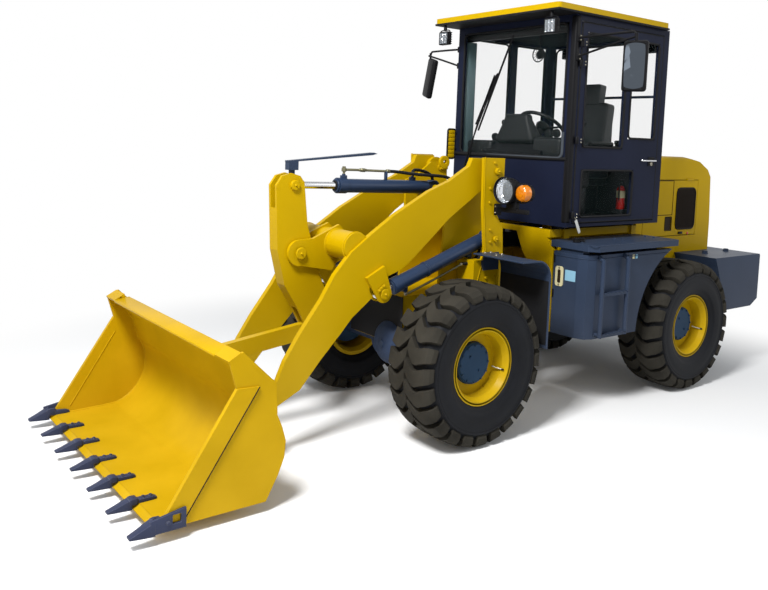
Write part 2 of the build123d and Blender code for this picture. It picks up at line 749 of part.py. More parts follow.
# ================================================================ bucket
bucket_round = from_tip((480, 365))[0]      # middle of the bowl's rounded back
bucket_round_radius = 300
side_outline = from_tip(
    (123, 55), (275, 62), (721, 62), (790, 190), (825, 278), (832, 364), (810, 440), (778, 514),
    (768, 692), (740, 712), (574, 873), (498, 833), (541, 690), (201, 167),
)
back_arc = arc_points(bucket_round, bucket_round_radius, 143, 260, 9)
sheet_outer = from_tip((555, 868), (733, 620)) + back_arc + from_tip((275, 64), (127, 57))
sheet_inner = (
    from_tip((160, 78), (350, 78))
    + arc_points(bucket_round, bucket_round_radius - bucket_sheet, 258, 143, 9)
    + from_tip((718, 614), (540, 858))
)
cutter_outline = from_tip((541, 690), (666, 684), (262, 75), (138, 66), (201, 167))
with BuildPart() as bucket:
    half = bucket_width / 2
    side_solid(sheet_outer + sheet_inner, 0, bucket_width - 2 * side_cutter - 2)
    for side in (-1, 1):
        side_y = side * (half - side_cutter - bucket_side / 2)
        side_solid(side_outline, side_y, bucket_side)
        side_solid(cutter_outline, side * (half - side_cutter / 2), side_cutter)
    # top flange, lower between its two end horns
    side_solid(
        from_tip((562, 872), (494, 834), (500, 822), (568, 860)), 0, bucket_width - 2 * side_cutter
    )
    # ears for the boom's pins and for the link's pin
    for side in (-1, 1):
        for ear in (-1, 1):
            ear_y = side * boom_y + ear * (boom_plate / 2 + side_fit + ear_plate / 2)
            side_solid(
                around(bucket_pin, (-20, -68))
                + from_tip((660, 70), (710, 560), (890, 480))
                + around(bucket_pin, (-20, 68)),
                ear_y, ear_plate,
            )
            cross_pin(bucket_pin, (ear_y - ear_plate / 2, ear_y + ear_plate / 2), 70)
        ear_y = side * (link_ear_inner + ear_plate / 2)
        side_solid(
            around(link_front_pin, (-10, -64))
            + from_tip((750, 400), (690, 690))
            + around(link_front_pin, (10, 64)),
            ear_y, ear_plate,
        )
        cross_pin(link_front_pin, (ear_y - ear_plate / 2, ear_y + ear_plate / 2), 66)
    # what the ears reach inside the bucket is cut away to the sheet's inner face
    side_solid(
        from_tip((160, 79), (350, 79))
        + arc_points(bucket_round, bucket_round_radius - bucket_sheet - 1, 258, 143, 9)
        + from_tip((717, 613), (538, 857), (390, 700)),
        0, bucket_width - 2 * side_cutter - 2 * bucket_side - 2, Mode.SUBTRACT,
    )
    cross_pin(bucket_pin, (-half + 40, half - 40), pin_radius + running_fit, Mode.SUBTRACT)
    cross_pin(link_front_pin, (-200, 200), pin_radius + running_fit, Mode.SUBTRACT)
    block(
        (tip_x - 610, tip_x - 390), (-half + lip_horn, half - lip_horn), (872 - lip_dip, 900),
        Mode.SUBTRACT,
    )
save(bucket.part, "bucket")

tooth_outline = from_tip(
    (0, 66), (0, 84), (85, 116), (160, 124), (280, 118), (340, 104), (340, 78.2), (122, 78.2),
    (122, 52), (70, 54),
)
corner_nose = from_tip((0, 66), (0, 84), (85, 130), (122, 140), (122, 52), (70, 54))
corner_shank = from_tip((110, 54), (110, 136), (160, 162), (260, 162), (275, 145), (275, 72), (160, 60))
corner_y = bucket_width / 2 - side_cutter - bucket_side / 2
tooth_spacing = 2 * corner_y / (tooth_count - 1)
with BuildPart() as bucket_teeth:
    for index in range(1, tooth_count - 1):
        side_solid(tooth_outline, -corner_y + index * tooth_spacing, tooth_width)
    for side in (-1, 1):
        # a corner tooth straddles the side plate, with a slotted shank outside it
        outer_y = side * (bucket_width / 2 + 0.2 + corner_plate)
        inner_y = side * (corner_y - bucket_side / 2 - 0.2 - corner_plate)
        side_solid(corner_nose, (outer_y + inner_y) / 2, abs(outer_y - inner_y))
        side_solid(corner_shank, outer_y - side * corner_plate / 2, corner_plate)
        side_solid(tooth_outline, inner_y + side * corner_plate / 2, corner_plate)
        block(
            (tip_x - 250, tip_x - 205), (outer_y - side * 30, outer_y + side * 5), (92, 137),
            Mode.SUBTRACT,
        )
save(bucket_teeth.part, "bucket_teeth")

# ================================================================ rear frame
counterweight_front = [
    (counterweight_front_x, counterweight_top_z), (counterweight_front_x - 43, 967),
    (counterweight_front_x - 89, 860), (counterweight_front_x - 140, 724),
    (counterweight_front_x - 213, counterweight_bottom_z),
]
with BuildPart() as rear_frame:
    for low, high in joint_bosses:
        for base in (low - joint_plate - 1, high + 1):
            with Locations((hinge_x, 0, base + joint_plate / 2)):
                Cylinder(joint_radius, joint_plate)
            block((-420, 0), (-joint_radius, joint_radius), (base, base + joint_plate))
    for low, high in joint_bosses:
        with Locations((hinge_x, 0, (low + high) / 2)):
            Cylinder(joint_pin_radius, high - low + 2 * joint_plate)
    block((-460, -420), (-rail_y, rail_y), (joint_bosses[0][0] - joint_plate - 1, frame_top_z))
    for side in (-1, 1):
        side_solid(
            [(-460, frame_top_z)]
            + [(x + 1, min(z, frame_top_z)) for x, z in counterweight_front[:4]]
            + [(counterweight_front[3][0] + 1, axle_seat_z), (-460, axle_seat_z)],
            side * rail_y, rail_plate,
        )
        # diagonal wall from the rails out to the bulkhead
        block((-460, bulkhead_x), (side * 460, side * 500), (frame_top_z - 120, frame_top_z))
        block((-460, bulkhead_x), (side * 460, side * 500), (560, 640))
        block((-500, -440), (side * 380, side * 500), (560, frame_top_z))
    with BuildSketch(Plane(origin=(hinge_x + bulkhead_x, 0, 0), x_dir=(0, 1, 0), z_dir=(1, 0, 0))) as wall:
        with BuildLine():
            Polyline(
                (-bulkhead_half, 560), (-bulkhead_half, 1180), (-bulkhead_half + 110, bulkhead_top_z),
                (bulkhead_half - 110, bulkhead_top_z), (bulkhead_half, 1180), (bulkhead_half, 560),
                close=True,
            )
        make_face()
        with BuildLine():
            Polyline(
                (-320, 540), (-320, 960), (-190, 1140), (-120, 1285), (120, 1285), (190, 1140),
                (320, 960), (320, 540), close=True,
            )
        make_face(mode=Mode.SUBTRACT)
    extrude(wall.sketch, amount=-bulkhead_plate)
    # posts and cross rails that the cab stands on
    for x in (-900, -60):
        for side in (-1, 1):
            block((x, x + 60), (side * 380, side * 480), (frame_top_z - 60, bulkhead_top_z))
    for side in (-1, 1):
        block((-900, bulkhead_x), (side * 400, side * 460), (bulkhead_top_z - 60, bulkhead_top_z))
    block(
        (counterweight_front_x - 35, counterweight_front_x + 45), (-rail_y, rail_y), (700, 900)
    )
save(rear_frame.part, "rear_frame")

with BuildPart() as cab_mounts:
    for x in (-850, 20):
        for side in (-1, 1):
            with Locations((hinge_x + x, side * 430, (bulkhead_top_z + cab_bottom_z) / 2)):
                Cylinder(45, cab_bottom_z - bulkhead_top_z)
save(cab_mounts.part, "cab_mounts")

# ================================================================ counterweight
with BuildPart() as counterweight:
    side_solid(
        counterweight_front
        + [
            (rear_x + 110, counterweight_bottom_z), (rear_x, counterweight_bottom_z + 60),
            (rear_x, counterweight_top_z - 12), (rear_x + 12, counterweight_top_z),
        ],
        0, 2 * counterweight_half,
    )
    # tow hitch slot and its pin hole
    block((rear_x, rear_x + 110), (-70, 70), (720, 800), Mode.SUBTRACT)
    with Locations((hinge_x + rear_x + 50, 0, 800)):
        Cylinder(18, 2 * (counterweight_top_z - 780), mode=Mode.SUBTRACT)
save(counterweight.part, "counterweight")

# ================================================================ engine
engine_floor_z = frame_top_z + 0.2
engine_front_x = hood_front_x - 110
engine_rear_x = hood_rear_x + 140
with BuildPart() as engine:
    block((engine_rear_x, engine_front_x), (-330, 330), (engine_floor_z, 1640))
    block(
        (engine_rear_x, engine_front_x), (-rail_y + 8, rail_y - 8),
        (engine_floor_z, engine_floor_z + 40),
    )
    block((counterweight_front_x + 105, engine_front_x), (-300, 300), (760, engine_floor_z))
save(engine.part, "engine")

# ================================================================ hood
hood_side = [
    (hood_front_x, hood_bottom_z), (hood_front_x, hood_top_z), (hood_rear_x + 450, hood_top_z),
    (hood_rear_x + 223, hood_top_z - 40), (hood_rear_x + 81, hood_top_z - 112),
    (hood_rear_x + 30, hood_top_z - 178),
    (hood_rear_x + 2, 1325), (hood_rear_x, hood_bottom_z),
]
hood_hinge_xs = (hood_door_front_x - 150, hood_door_rear_x + 145)
hood_hinge_y = hood_half + 4
hood_knuckle_radius = 8
hood_knuckle_half = 30
hood_lug_half = 50
hood_pin_radius = 4


def hinge_rod(low, high, side, radius, mode=Mode.ADD):
    """A bar from x = low to x = high on a hood door's hinge line."""
    y = side * hood_hinge_y
    rod((low, y, hood_door_top_z), (high, y, hood_door_top_z), radius, mode)


with BuildPart() as hood:
    side_solid(hood_side, 0, 2 * hood_half)
    edges_along = hood.edges().filter_by(Axis.X).group_by(Axis.Z)[-1]
    fillet(edges_along, 45)
    side_solid(
        [
            (hood_front_x - hood_wall, hood_bottom_z - 20), (hood_front_x - hood_wall, hood_top_z - 46),
            (hood_rear_x + 450, hood_top_z - 46), (hood_rear_x + 230, hood_top_z - 80),
            (hood_rear_x + 100, hood_top_z - 145), (hood_rear_x + 50, hood_top_z - 200),
            (hood_rear_x + hood_wall + 4, 1325),
            (hood_rear_x + hood_wall, hood_bottom_z - 20),
        ],
        0, 2 * (hood_half - hood_wall), Mode.SUBTRACT,
    )
    for side in (-1, 1):
        block(
            (hood_door_front_x, hood_door_rear_x), (side * (hood_half - 20), side * (hood_half + 20)),
            (hood_door_bottom_z, hood_door_top_z), Mode.SUBTRACT,
        )
        # hinge lugs and pins along the top of each side door
        for x in hood_hinge_xs:
            hinge_rod(x - hood_lug_half, x + hood_lug_half, side, hood_knuckle_radius)
            hinge_rod(
                x - hood_knuckle_half - 1, x + hood_knuckle_half + 1, side,
                hood_knuckle_radius + 1.5, Mode.SUBTRACT,
            )
            hinge_rod(x - hood_lug_half, x + hood_lug_half, side, hood_pin_radius)
    # rear grille opening
    block((hood_rear_x - 20, hood_rear_x + 40), (-260, 260), (1200, 1640), Mode.SUBTRACT)
save(hood.part, "hood")

with BuildPart() as rear_grille:
    block((hood_rear_x + 2, hood_rear_x + 12), (-259.7, 259.7), (1200.3, 1639.7))
save(rear_grille.part, "rear_grille")


def make_hood_door(side):
    """A side door in the hood, with the opening of its grille."""
    inner = side * (hood_half - hood_wall + 2)
    outer = side * hood_half
    with BuildPart() as door:
        block(
            (hood_door_front_x - door_gap, hood_door_rear_x + door_gap), (inner, outer),
            (hood_door_bottom_z + door_gap, hood_door_top_z - door_gap),
        )
        grille = (hood_door_rear_x + 323, hood_door_rear_x + 40)
        block(grille, (inner - side * 5, outer + side * 5), (1262, 1622), Mode.SUBTRACT)
        for row in range(9):
            z = 1282 + row * 40
            block(grille, (inner, outer - side * 3), (z, z + 12))
        vent = (hood_door_rear_x + 487, hood_door_rear_x + 385)
        block(vent, (inner + side * 3, outer + side * 5), (1250, 1373), Mode.SUBTRACT)
        for x in hood_hinge_xs:
            for end in (-1, 1):
                hinge_rod(
                    x + end * hood_knuckle_half, x + end * (hood_lug_half + 2), side,
                    hood_knuckle_radius + 1.5, Mode.SUBTRACT,
                )
            hinge_rod(x - hood_knuckle_half, x + hood_knuckle_half, side, hood_knuckle_radius)
            hinge_rod(
                x - hood_lug_half, x + hood_lug_half, side, hood_pin_radius + running_fit,
                Mode.SUBTRACT,
            )
    return door.part


for name, side in (("left", 1), ("right", -1)):
    save(make_hood_door(side), f"hood_door_{name}")

# ================================================================ tanks, platforms and ladders
def make_tank(side):
    """A side tank with a rounded front corner, cut back round the rear tyre."""
    arch = (rear_axle_x, axle_z)
    with BuildPart() as tank:
        with BuildSketch(Plane.XY.offset(tank_bottom_z)) as plan:
            with BuildLine():
                Polyline(
                    (hinge_x + tank_rear_x, side * tank_inner_y),
                    (hinge_x + tank_front_x, side * tank_inner_y),
                    (hinge_x + tank_front_x, side * (tank_outer_y - tank_corner)),
                    (hinge_x + tank_front_x - tank_corner * 0.29, side * (tank_outer_y - tank_corner * 0.29)),
                    (hinge_x + tank_front_x - tank_corner, side * tank_outer_y),
                    (hinge_x + tank_rear_x, side * tank_outer_y), close=True,
                )
            make_face()
        extrude(plan.sketch, amount=tank_top_z - tank_bottom_z)
        middle = side * (tank_inner_y + tank_outer_y) / 2
        cross_pin(arch, (middle - 300, middle + 300), wheel_arch_radius, Mode.SUBTRACT)
        for x in (60, -560):
            block(
                (x - 25, x + 25), (side * 502, side * tank_inner_y), (tank_top_z - 200, tank_top_z - 60)
            )
    return tank.part


def make_platform(side):
    """A step plate over the tank, with the spacers that it stands on."""
    with BuildPart() as platform:
        with BuildSketch(Plane.XY.offset(platform_bottom_z)) as plan:
            with BuildLine():
                Polyline(
                    (hinge_x + platform_rear_x, side * 480), (hinge_x + tank_front_x, side * 480),
                    (hinge_x + tank_front_x, side * (platform_y - 60)),
                    (hinge_x + tank_front_x - 60, side * platform_y),
                    (hinge_x + platform_rear_x, side * platform_y), close=True,
                )
            make_face()
        extrude(plan.sketch, amount=platform_top_z - platform_bottom_z)
        for x in (tank_front_x - 60, -400, platform_rear_x + 150):
            block((x - 40, x + 40), (side * 560, side * 760), (tank_top_z, platform_bottom_z))
    return platform.part


def make_ladder(side):
    """Two bent side tubes and two steps, fastened to the tank's outer face."""
    face = side * tank_outer_y
    y = face + side * ladder_stand_off
    with BuildPart() as ladder:
        for x in (ladder_front_x, ladder_rear_x):
            rod((x, y, ladder_bottom_z), (x, y, tank_top_z - 30), ladder_tube_radius)
            rod((x, y, tank_top_z - 40), (x, face, tank_top_z - 10), ladder_tube_radius - 2)
            rod((x, y, ladder_bottom_z + 20), (x, face, ladder_bottom_z + 20), ladder_tube_radius - 2)
        for z in (ladder_bottom_z, 880):
            block(
                (ladder_rear_x, ladder_front_x), (y - side * 25, y + side * 10), (z, z + 24)
            )
        block(
            (ladder_rear_x - 30, ladder_front_x + 30), (face, face + side * 80),
            (tank_bottom_z, 2000), Mode.INTERSECT,
        )
    return ladder.part


for name, side in (("left", 1), ("right", -1)):
    save(make_tank(side), f"side_tank_{name}")
    save(make_platform(side), f"platform_{name}")
    save(make_ladder(side), f"ladder_{name}")

# ================================================================ cab
with BuildPart() as cab:
    block((cab_rear_x, cab_front_x), (-cab_half, cab_half), (cab_bottom_z, cab_top_z))
    block(
        (cab_rear_x + cab_wall, cab_front_x - cab_wall), (-cab_half + cab_wall, cab_half - cab_wall),
        (cab_bottom_z + cab_wall, cab_top_z - cab_wall), Mode.SUBTRACT,
    )
    # windscreen, rear window and right side windows
    block(
        (cab_front_x - 60, cab_front_x + 20), (-cab_half + pillar, cab_half - pillar),
        (sill_z, cab_top_z - 55), Mode.SUBTRACT,
    )
    block(
        (cab_rear_x - 20, cab_rear_x + 60), (-cab_half + pillar, cab_half - pillar),
        (window_bottom_z, window_top_z), Mode.SUBTRACT,
    )
    block(
        (window_post_x, cab_front_x - pillar), (-cab_half - 20, -cab_half + 60),
        (sill_z, window_top_z), Mode.SUBTRACT,
    )
    block(
        (cab_rear_x + pillar, window_post_x - pillar), (-cab_half - 20, -cab_half + 60),
        (sill_z + 60, window_top_z), Mode.SUBTRACT,
    )
    # doorway on the left
    block(
        (door_rear_x, door_front_x), (cab_half - 60, cab_half + 20),
        (cab_bottom_z + 25, cab_top_z - 45), Mode.SUBTRACT,
    )
save(cab.part, "cab")

with BuildPart() as cab_roof:
    block(
        (roof_rear_x, roof_front_x), (-roof_half, roof_half),
        (cab_top_z + roof_gap, cab_top_z + roof_gap + roof_thickness),
    )
    fillet(cab_roof.edges().filter_by(Axis.Z), 30)
    block(
        (cab_rear_x + 90, cab_front_x - 40), (-cab_half + 60, cab_half - 60),
        (cab_top_z, cab_top_z + roof_gap),
    )
save(cab_roof.part, "cab_roof")

glass_edge = 0.3
with BuildPart() as cab_glass:
    block(
        (cab_front_x - 24, cab_front_x - 24 + glass),
        (-cab_half + pillar + glass_edge, cab_half - pillar - glass_edge),
        (sill_z + glass_edge, cab_top_z - 55 - glass_edge),
    )
    block(
        (cab_rear_x + 14, cab_rear_x + 14 + glass),
        (-cab_half + pillar + glass_edge, cab_half - pillar - glass_edge),
        (window_bottom_z + glass_edge, window_top_z - glass_edge),
    )
    block(
        (window_post_x + glass_edge, cab_front_x - pillar - glass_edge),
        (-cab_half + 12, -cab_half + 12 + glass), (sill_z + glass_edge, window_top_z - glass_edge),
    )
    block(
        (cab_rear_x + pillar + glass_edge, window_post_x - pillar - glass_edge),
        (-cab_half + 12, -cab_half + 12 + glass),
        (sill_z + 60 + glass_edge, window_top_z - glass_edge),
    )
save(cab_glass.part, "cab_glass")

door_y = cab_half - door_thickness + 4
with BuildPart() as cab_door:
    door_span_x = (door_rear_x + door_gap, door_front_x - door_gap)
    door_span_z = (cab_bottom_z + 25 + door_gap, cab_top_z - 45 - door_gap)
    block(door_span_x, (door_y, door_y + door_thickness), door_span_z)
    for x_low, x_high, z_low, z_high in door_windows:
        block((x_low, x_high), (door_y - 10, door_y + 60), (z_low, z_high), Mode.SUBTRACT)
    for z in door_hinge_zs:
        with Locations((hinge_x + door_hinge_x, door_hinge_y, z)):
            Cylinder(11, 60)
        block(
            (door_front_x - 40, door_hinge_x), (cab_half + 1, door_hinge_y + 6), (z - 20, z + 20)
        )
save(cab_door.part, "cab_door")

with BuildPart() as cab_door_glass:
    glass_y = door_y + 14
    for x_low, x_high, z_low, z_high in door_windows:
        block(
            (x_low + glass_edge, x_high - glass_edge), (glass_y, glass_y + glass),
            (z_low + glass_edge, z_high - glass_edge),
        )
save(cab_door_glass.part, "cab_door_glass")

# ---------------------------------------------------------------- cab fittings
seat_x, seat_y = -600, 0
cab_floor_z = cab_bottom_z + cab_wall
with BuildPart() as seat:
    block((seat_x - 180, seat_x + 180), (-170, 170), (cab_floor_z, 1700))
    block((seat_x - 230, seat_x + 260), (-240, 240), (1700, 1830))
    side_solid(
        [(seat_x - 240, 1760), (seat_x - 120, 1800), (seat_x - 170, 2330), (seat_x - 260, 2330)], 0, 440
    )
    side_solid(
        [(seat_x - 240, 2310), (seat_x - 175, 2310), (seat_x - 185, 2480), (seat_x - 260, 2480)], 0, 240
    )
save(seat.part, "seat")

column_foot = (-50, 1850)
wheel_centre = (-230, 2110)
with BuildPart() as dashboard:
    side_solid(
        [
            (cab_front_x - cab_wall, 1500), (cab_front_x - cab_wall, 1900), (0, 2010), (-110, 1990),
            (-60, 1820), (-20, 1500),
        ],
        0, 620,
    )
    block((-20, cab_front_x - cab_wall), (-120, 120), (cab_floor_z, 1500))
    column_top = along(wheel_centre, column_foot, 15.3)
    rod((column_foot[0], 0, column_foot[1]), (column_top[0], 0, column_top[1]), 26)
save(dashboard.part, "dashboard")

with BuildPart() as steering_wheel:
    tilt = degrees(atan2(column_foot[0] - wheel_centre[0], wheel_centre[1] - column_foot[1]))
    with Locations(Location((hinge_x + wheel_centre[0], 0, wheel_centre[1]), (0, -tilt, 0))):
        Torus(190, 14)
        Cylinder(45, 30)
        Box(30, 380, 12)
        Box(380, 30, 12)
save(steering_wheel.part, "steering_wheel")


def make_mirror(side):
    """A mirror head on two arms from the front pillar."""
    head = (mirror_x, side * mirror_y)
    head_top_z = mirror_bottom_z + mirror_height
    level = Plane(
        origin=(hinge_x + head[0], head[1], mirror_bottom_z),
        x_dir=(cos(pi / 7), side * sin(pi / 7), 0),
    )
    with BuildPart() as mirror_piece:
        with BuildSketch(level) as plan:
            RectangleRounded(60, 200, 25)
        extrude(plan.sketch, amount=mirror_height)
        rod((head[0] - 10, head[1], head_top_z - 50), (head[0] - 10, head[1], head_top_z + 50), 11)
        for z_pillar, z_head in zip(mirror_clamp_zs, (head_top_z + 35, head_top_z)):
            rod((cab_front_x - 20, side * (cab_half + 8), z_pillar), (head[0] - 10, head[1], z_head), 10)
            block(
                (cab_front_x - 38, cab_front_x - 2), (side * cab_half, side * (cab_half + 14)),
                (z_pillar - 22, z_pillar + 22),
            )
    return mirror_piece.part


def make_work_lamp(side):
    """A square work lamp hung under the roof's front corner."""
    with BuildPart() as lamp:
        lamp_top_z = work_lamp_bottom_z + work_lamp_height
        block(
            (roof_front_x - 60, roof_front_x - 5), (side * 510, side * 620),
            (work_lamp_bottom_z, lamp_top_z),
        )
        block(
            (roof_front_x - 45, roof_front_x - 25), (side * 550, side * 580),
            (lamp_top_z, cab_top_z + roof_gap),
        )
    return lamp.part


for name, side in (("left", 1), ("right", -1)):
    save(make_mirror(side), f"mirror_{name}")
    save(make_work_lamp(side), f"work_lamp_{name}")
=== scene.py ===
# %% [markdown]
# # A small wheel loader
# This lesson dresses a wheel loader that was drawn in CAD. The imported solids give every
# place and size, and Blender adds what the solids leave plain: tyre tread, lamps, pipes,
# bolts, seams, a soft seat and the paint. All sizes are in metres. X points forward,
# Y to the loader's left and Z up.

# %% Load the frame
import json
import math

import bpy
from mathutils import Matrix, Vector


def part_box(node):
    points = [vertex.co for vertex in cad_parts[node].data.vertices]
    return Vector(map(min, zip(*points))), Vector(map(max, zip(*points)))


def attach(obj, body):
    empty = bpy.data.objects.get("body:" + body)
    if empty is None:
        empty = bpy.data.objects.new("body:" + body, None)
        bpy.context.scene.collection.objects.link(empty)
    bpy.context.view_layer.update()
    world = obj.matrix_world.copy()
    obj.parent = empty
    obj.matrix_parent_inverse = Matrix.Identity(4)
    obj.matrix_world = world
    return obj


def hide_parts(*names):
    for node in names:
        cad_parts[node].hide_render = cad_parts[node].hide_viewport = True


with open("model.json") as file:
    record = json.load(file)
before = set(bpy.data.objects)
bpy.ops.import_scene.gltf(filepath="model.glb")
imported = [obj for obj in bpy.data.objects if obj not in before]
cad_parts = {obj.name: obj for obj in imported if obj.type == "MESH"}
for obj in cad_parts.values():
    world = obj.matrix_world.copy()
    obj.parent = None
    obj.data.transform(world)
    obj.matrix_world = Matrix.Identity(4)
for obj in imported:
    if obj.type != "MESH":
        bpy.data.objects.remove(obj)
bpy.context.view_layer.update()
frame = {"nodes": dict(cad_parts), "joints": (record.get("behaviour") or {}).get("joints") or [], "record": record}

NODES = frame["nodes"]
PIN = {joint["name"]: Vector(joint["pos_m"]) for joint in frame["joints"] if "pos_m" in joint}
STEER_X = PIN["steering"].x
SIDES = (("left", 1), ("right", -1))


def at(x, y, z):
    """A point whose x is measured forward from the steering pin."""
    return Vector((STEER_X + x, y, z))


# %% [markdown]
# ## Camera and light
# The loader is seen from its front left corner, a little above the hood line. The
# camera is set from its heading, pitch and roll. Its frame is shifted down a little, as
# a tall camera's is when the posts should stay upright.

# %% Camera
CAMERA_PLACE = Vector((4.1707, 4.4166, 1.9492))
HEADING, PITCH, ROLL = (math.radians(angle) for angle in (-127.4202, -4.9886, 2.1207))
LENS_MM = 37.288
SHIFT_DOWN = 0.110677       # a share of the frame's width

ahead = Vector((
    math.cos(PITCH) * math.cos(HEADING),
    math.cos(PITCH) * math.sin(HEADING),
    math.sin(PITCH),
))
level = ahead.cross(Vector((0, 0, 1))).normalized()
upright = level.cross(ahead)
across = level * math.cos(ROLL) + upright * math.sin(ROLL)
above = upright * math.cos(ROLL) - level * math.sin(ROLL)

bpy.ops.object.camera_add()
camera = bpy.context.object
camera.matrix_world = (
    Matrix.Translation(CAMERA_PLACE) @ Matrix((across, above, -ahead)).transposed().to_4x4()
)
camera.data.lens = LENS_MM
camera.data.shift_y = -SHIFT_DOWN
bpy.context.scene.camera = camera
print("camera at", tuple(round(v, 3) for v in camera.location))

# %% [markdown]
# Three soft lamps light the loader. The strongest one is high in front of it on the
# left, so the far side, the wheel arches and the underside fall into shade.

# %% Lamps
def area_lamp(place, target, size, power):
    """A square soft lamp that points at its target."""
    bpy.ops.object.light_add(type="AREA", location=place)
    lamp = bpy.context.object
    lamp.rotation_euler = (Vector(target) - Vector(place)).to_track_quat("-Z", "Y").to_euler()
    lamp.data.size = size
    lamp.data.energy = power


area_lamp((5.2, 2.5, 6.6), (0, 0, 0.8), 1.6, 850)
area_lamp((7.0, 0.5, 4.2), (0.6, 0, 0.8), 3.0, 50)
area_lamp((-4.5, 5.5, 4.0), (-0.8, 0, 1.0), 3.0, 80)

# %% [markdown]
# ## Shader nodes
# A material is a small tree of nodes. Each node is added with its sockets filled in one
# step: a socket takes a value, or another node's output. The same step could be typed
# out for every node, but then the recipe would be hard to read.

# %% Node makers
def feed(tree, node, sockets):
    """Fills a node's sockets, each with a value or with another node's output."""
    for socket, value in sockets.items():
        if isinstance(value, bpy.types.NodeSocket):
            tree.links.new(value, node.inputs[socket])
        else:
            node.inputs[socket].default_value = value


def add_node(tree, kind, sockets=None, operation=None):
    """A new shader node with its sockets filled."""
    node = tree.nodes.new("ShaderNode" + kind)
    if operation:
        node.operation = operation
    feed(tree, node, sockets or {})
    return node


def ramp(tree, value, to_min, to_max, from_min=0.0, from_max=1.0):
    """A value, carried from one range to another."""
    sockets = {"Value": value, "From Min": from_min, "From Max": from_max,
               "To Min": to_min, "To Max": to_max}
    return add_node(tree, "MapRange", sockets).outputs["Result"]


def noise(tree, place, scale, detail=2.0):
    """Soft noise on an object's own coordinates."""
    sockets = {"Vector": place, "Scale": scale, "Detail": detail}
    return add_node(tree, "TexNoise", sockets).outputs["Fac"]


def maths(tree, operation, first, second):
    """The result of one sum on two values."""
    return add_node(tree, "Math", {0: first, 1: second}, operation).outputs[0]


print("node makers ready")

# %% [markdown]
# The room is white to the eye and in glass and metal, but it lights the loader gently.
# The Light Path node tells these apart.

# %% Room
SOFT_AIR = {"Color": (0.92, 0.96, 1.0, 1), "Strength": 0.38}
WHITE_AIR = {"Color": (1, 1, 1, 1)}


def white_to_the_eye(tree):
    """1 for rays that look at a surface directly, in a mirror or through glass."""
    rays = add_node(tree, "LightPath").outputs
    seen = maths(tree, "MAXIMUM", rays["Is Camera Ray"], rays["Is Glossy Ray"])
    return maths(tree, "MAXIMUM", seen, rays["Is Transmission Ray"])


room = bpy.data.worlds.new("studio_room")
bpy.context.scene.world = room
room.use_nodes = True
air = room.node_tree
air.nodes.clear()
air_mix = add_node(air, "MixShader", {
    "Fac": white_to_the_eye(air),
    1: add_node(air, "Background", SOFT_AIR).outputs[0],
    2: add_node(air, "Background", WHITE_AIR).outputs[0],
})
add_node(air, "OutputWorld", {"Surface": air_mix.outputs[0]})
bpy.context.scene.view_settings.view_transform = "Standard"
print("room", room.name)

# %% [markdown]
# The floor is a pale sheet that keeps the loader's shadow near the wheels and fades to
# plain white further out, so that it has no horizon.

# %% Floor
FADE_START, FADE_END = 2.6, 4.6
bpy.ops.object.select_all(action="DESELECT")
bpy.ops.mesh.primitive_plane_add(size=80, location=(0, 0, 0))
floor = bpy.context.object
floor.name = "studio_floor"
paper = bpy.data.materials.new("floor_paper")
paper.use_nodes = True
tree = paper.node_tree
matte = tree.nodes["Principled BSDF"]
feed(tree, matte, {"Base Color": (0.88, 0.88, 0.88, 1), "Roughness": 0.95,
                   "Specular IOR Level": 0.0})
paper_place = add_node(tree, "TexCoord").outputs["Object"]
distance = add_node(tree, "VectorMath", {0: paper_place}, "LENGTH").outputs["Value"]
fade = add_node(tree, "MapRange", {"From Min": FADE_START, "From Max": FADE_END,
                                   "To Min": 0.02, "Value": distance})
fade.interpolation_type = "SMOOTHSTEP"
paper_mix = add_node(tree, "MixShader", {
    "Fac": maths(tree, "MULTIPLY", fade.outputs["Result"], white_to_the_eye(tree)),
    1: matte.outputs[0],
    2: add_node(tree, "Emission").outputs[0],
})
feed(tree, tree.nodes["Material Output"], {"Surface": paper_mix.outputs[0]})
floor.data.materials.append(paper)
print("floor", floor.dimensions.x, "m wide")

# %% [markdown]
# ## Finishes
# Sheet steel is welded, primed and sprayed, so its paint has a faint orange peel, small
# changes of tone and dust that gathers low down. Each finish here is one small node
# tree. A Bevel node rounds sharp CAD edges in the shading alone, which lets them catch
# the light as folded plate does. Noise could be painted on by hand, but a procedural
# one fits every plate without unwrapping it.

# %% Finish tools
FINISHES = {}
DUST = (0.30, 0.24, 0.17)


def blank_material(name, slot):
    """A new material's tree and shader, kept under its name with the record's slot."""
    material = bpy.data.materials.new(name)
    material.use_nodes = True
    FINISHES[name] = (material, slot)
    return material.node_tree, material.node_tree.nodes["Principled BSDF"]


def tinted(tree, colour, strength):
    """A plain colour, made lighter or darker by a strength."""
    return add_node(tree, "VectorMath", {0: colour, "Scale": strength}, "SCALE").outputs["Vector"]


def mix_colours(tree, share, first, second):
    """first, turning into the plain colour second where share is 1."""
    mix = tree.nodes.new("ShaderNodeMix")
    mix.data_type = "RGBA"
    tree.links.new(share, mix.inputs["Factor"])
    tree.links.new(first, mix.inputs["A"])
    mix.inputs["B"].default_value = (*second, 1)
    return mix.outputs["Result"]


print("finish tools ready")

# %% [markdown]
# A finish is built up in layers: a mottled tone, worn edges where it has wear, dust low
# down, then a fine relief and a gloss that varies with the tone. One maker takes them
# all, so a new paint is one line.

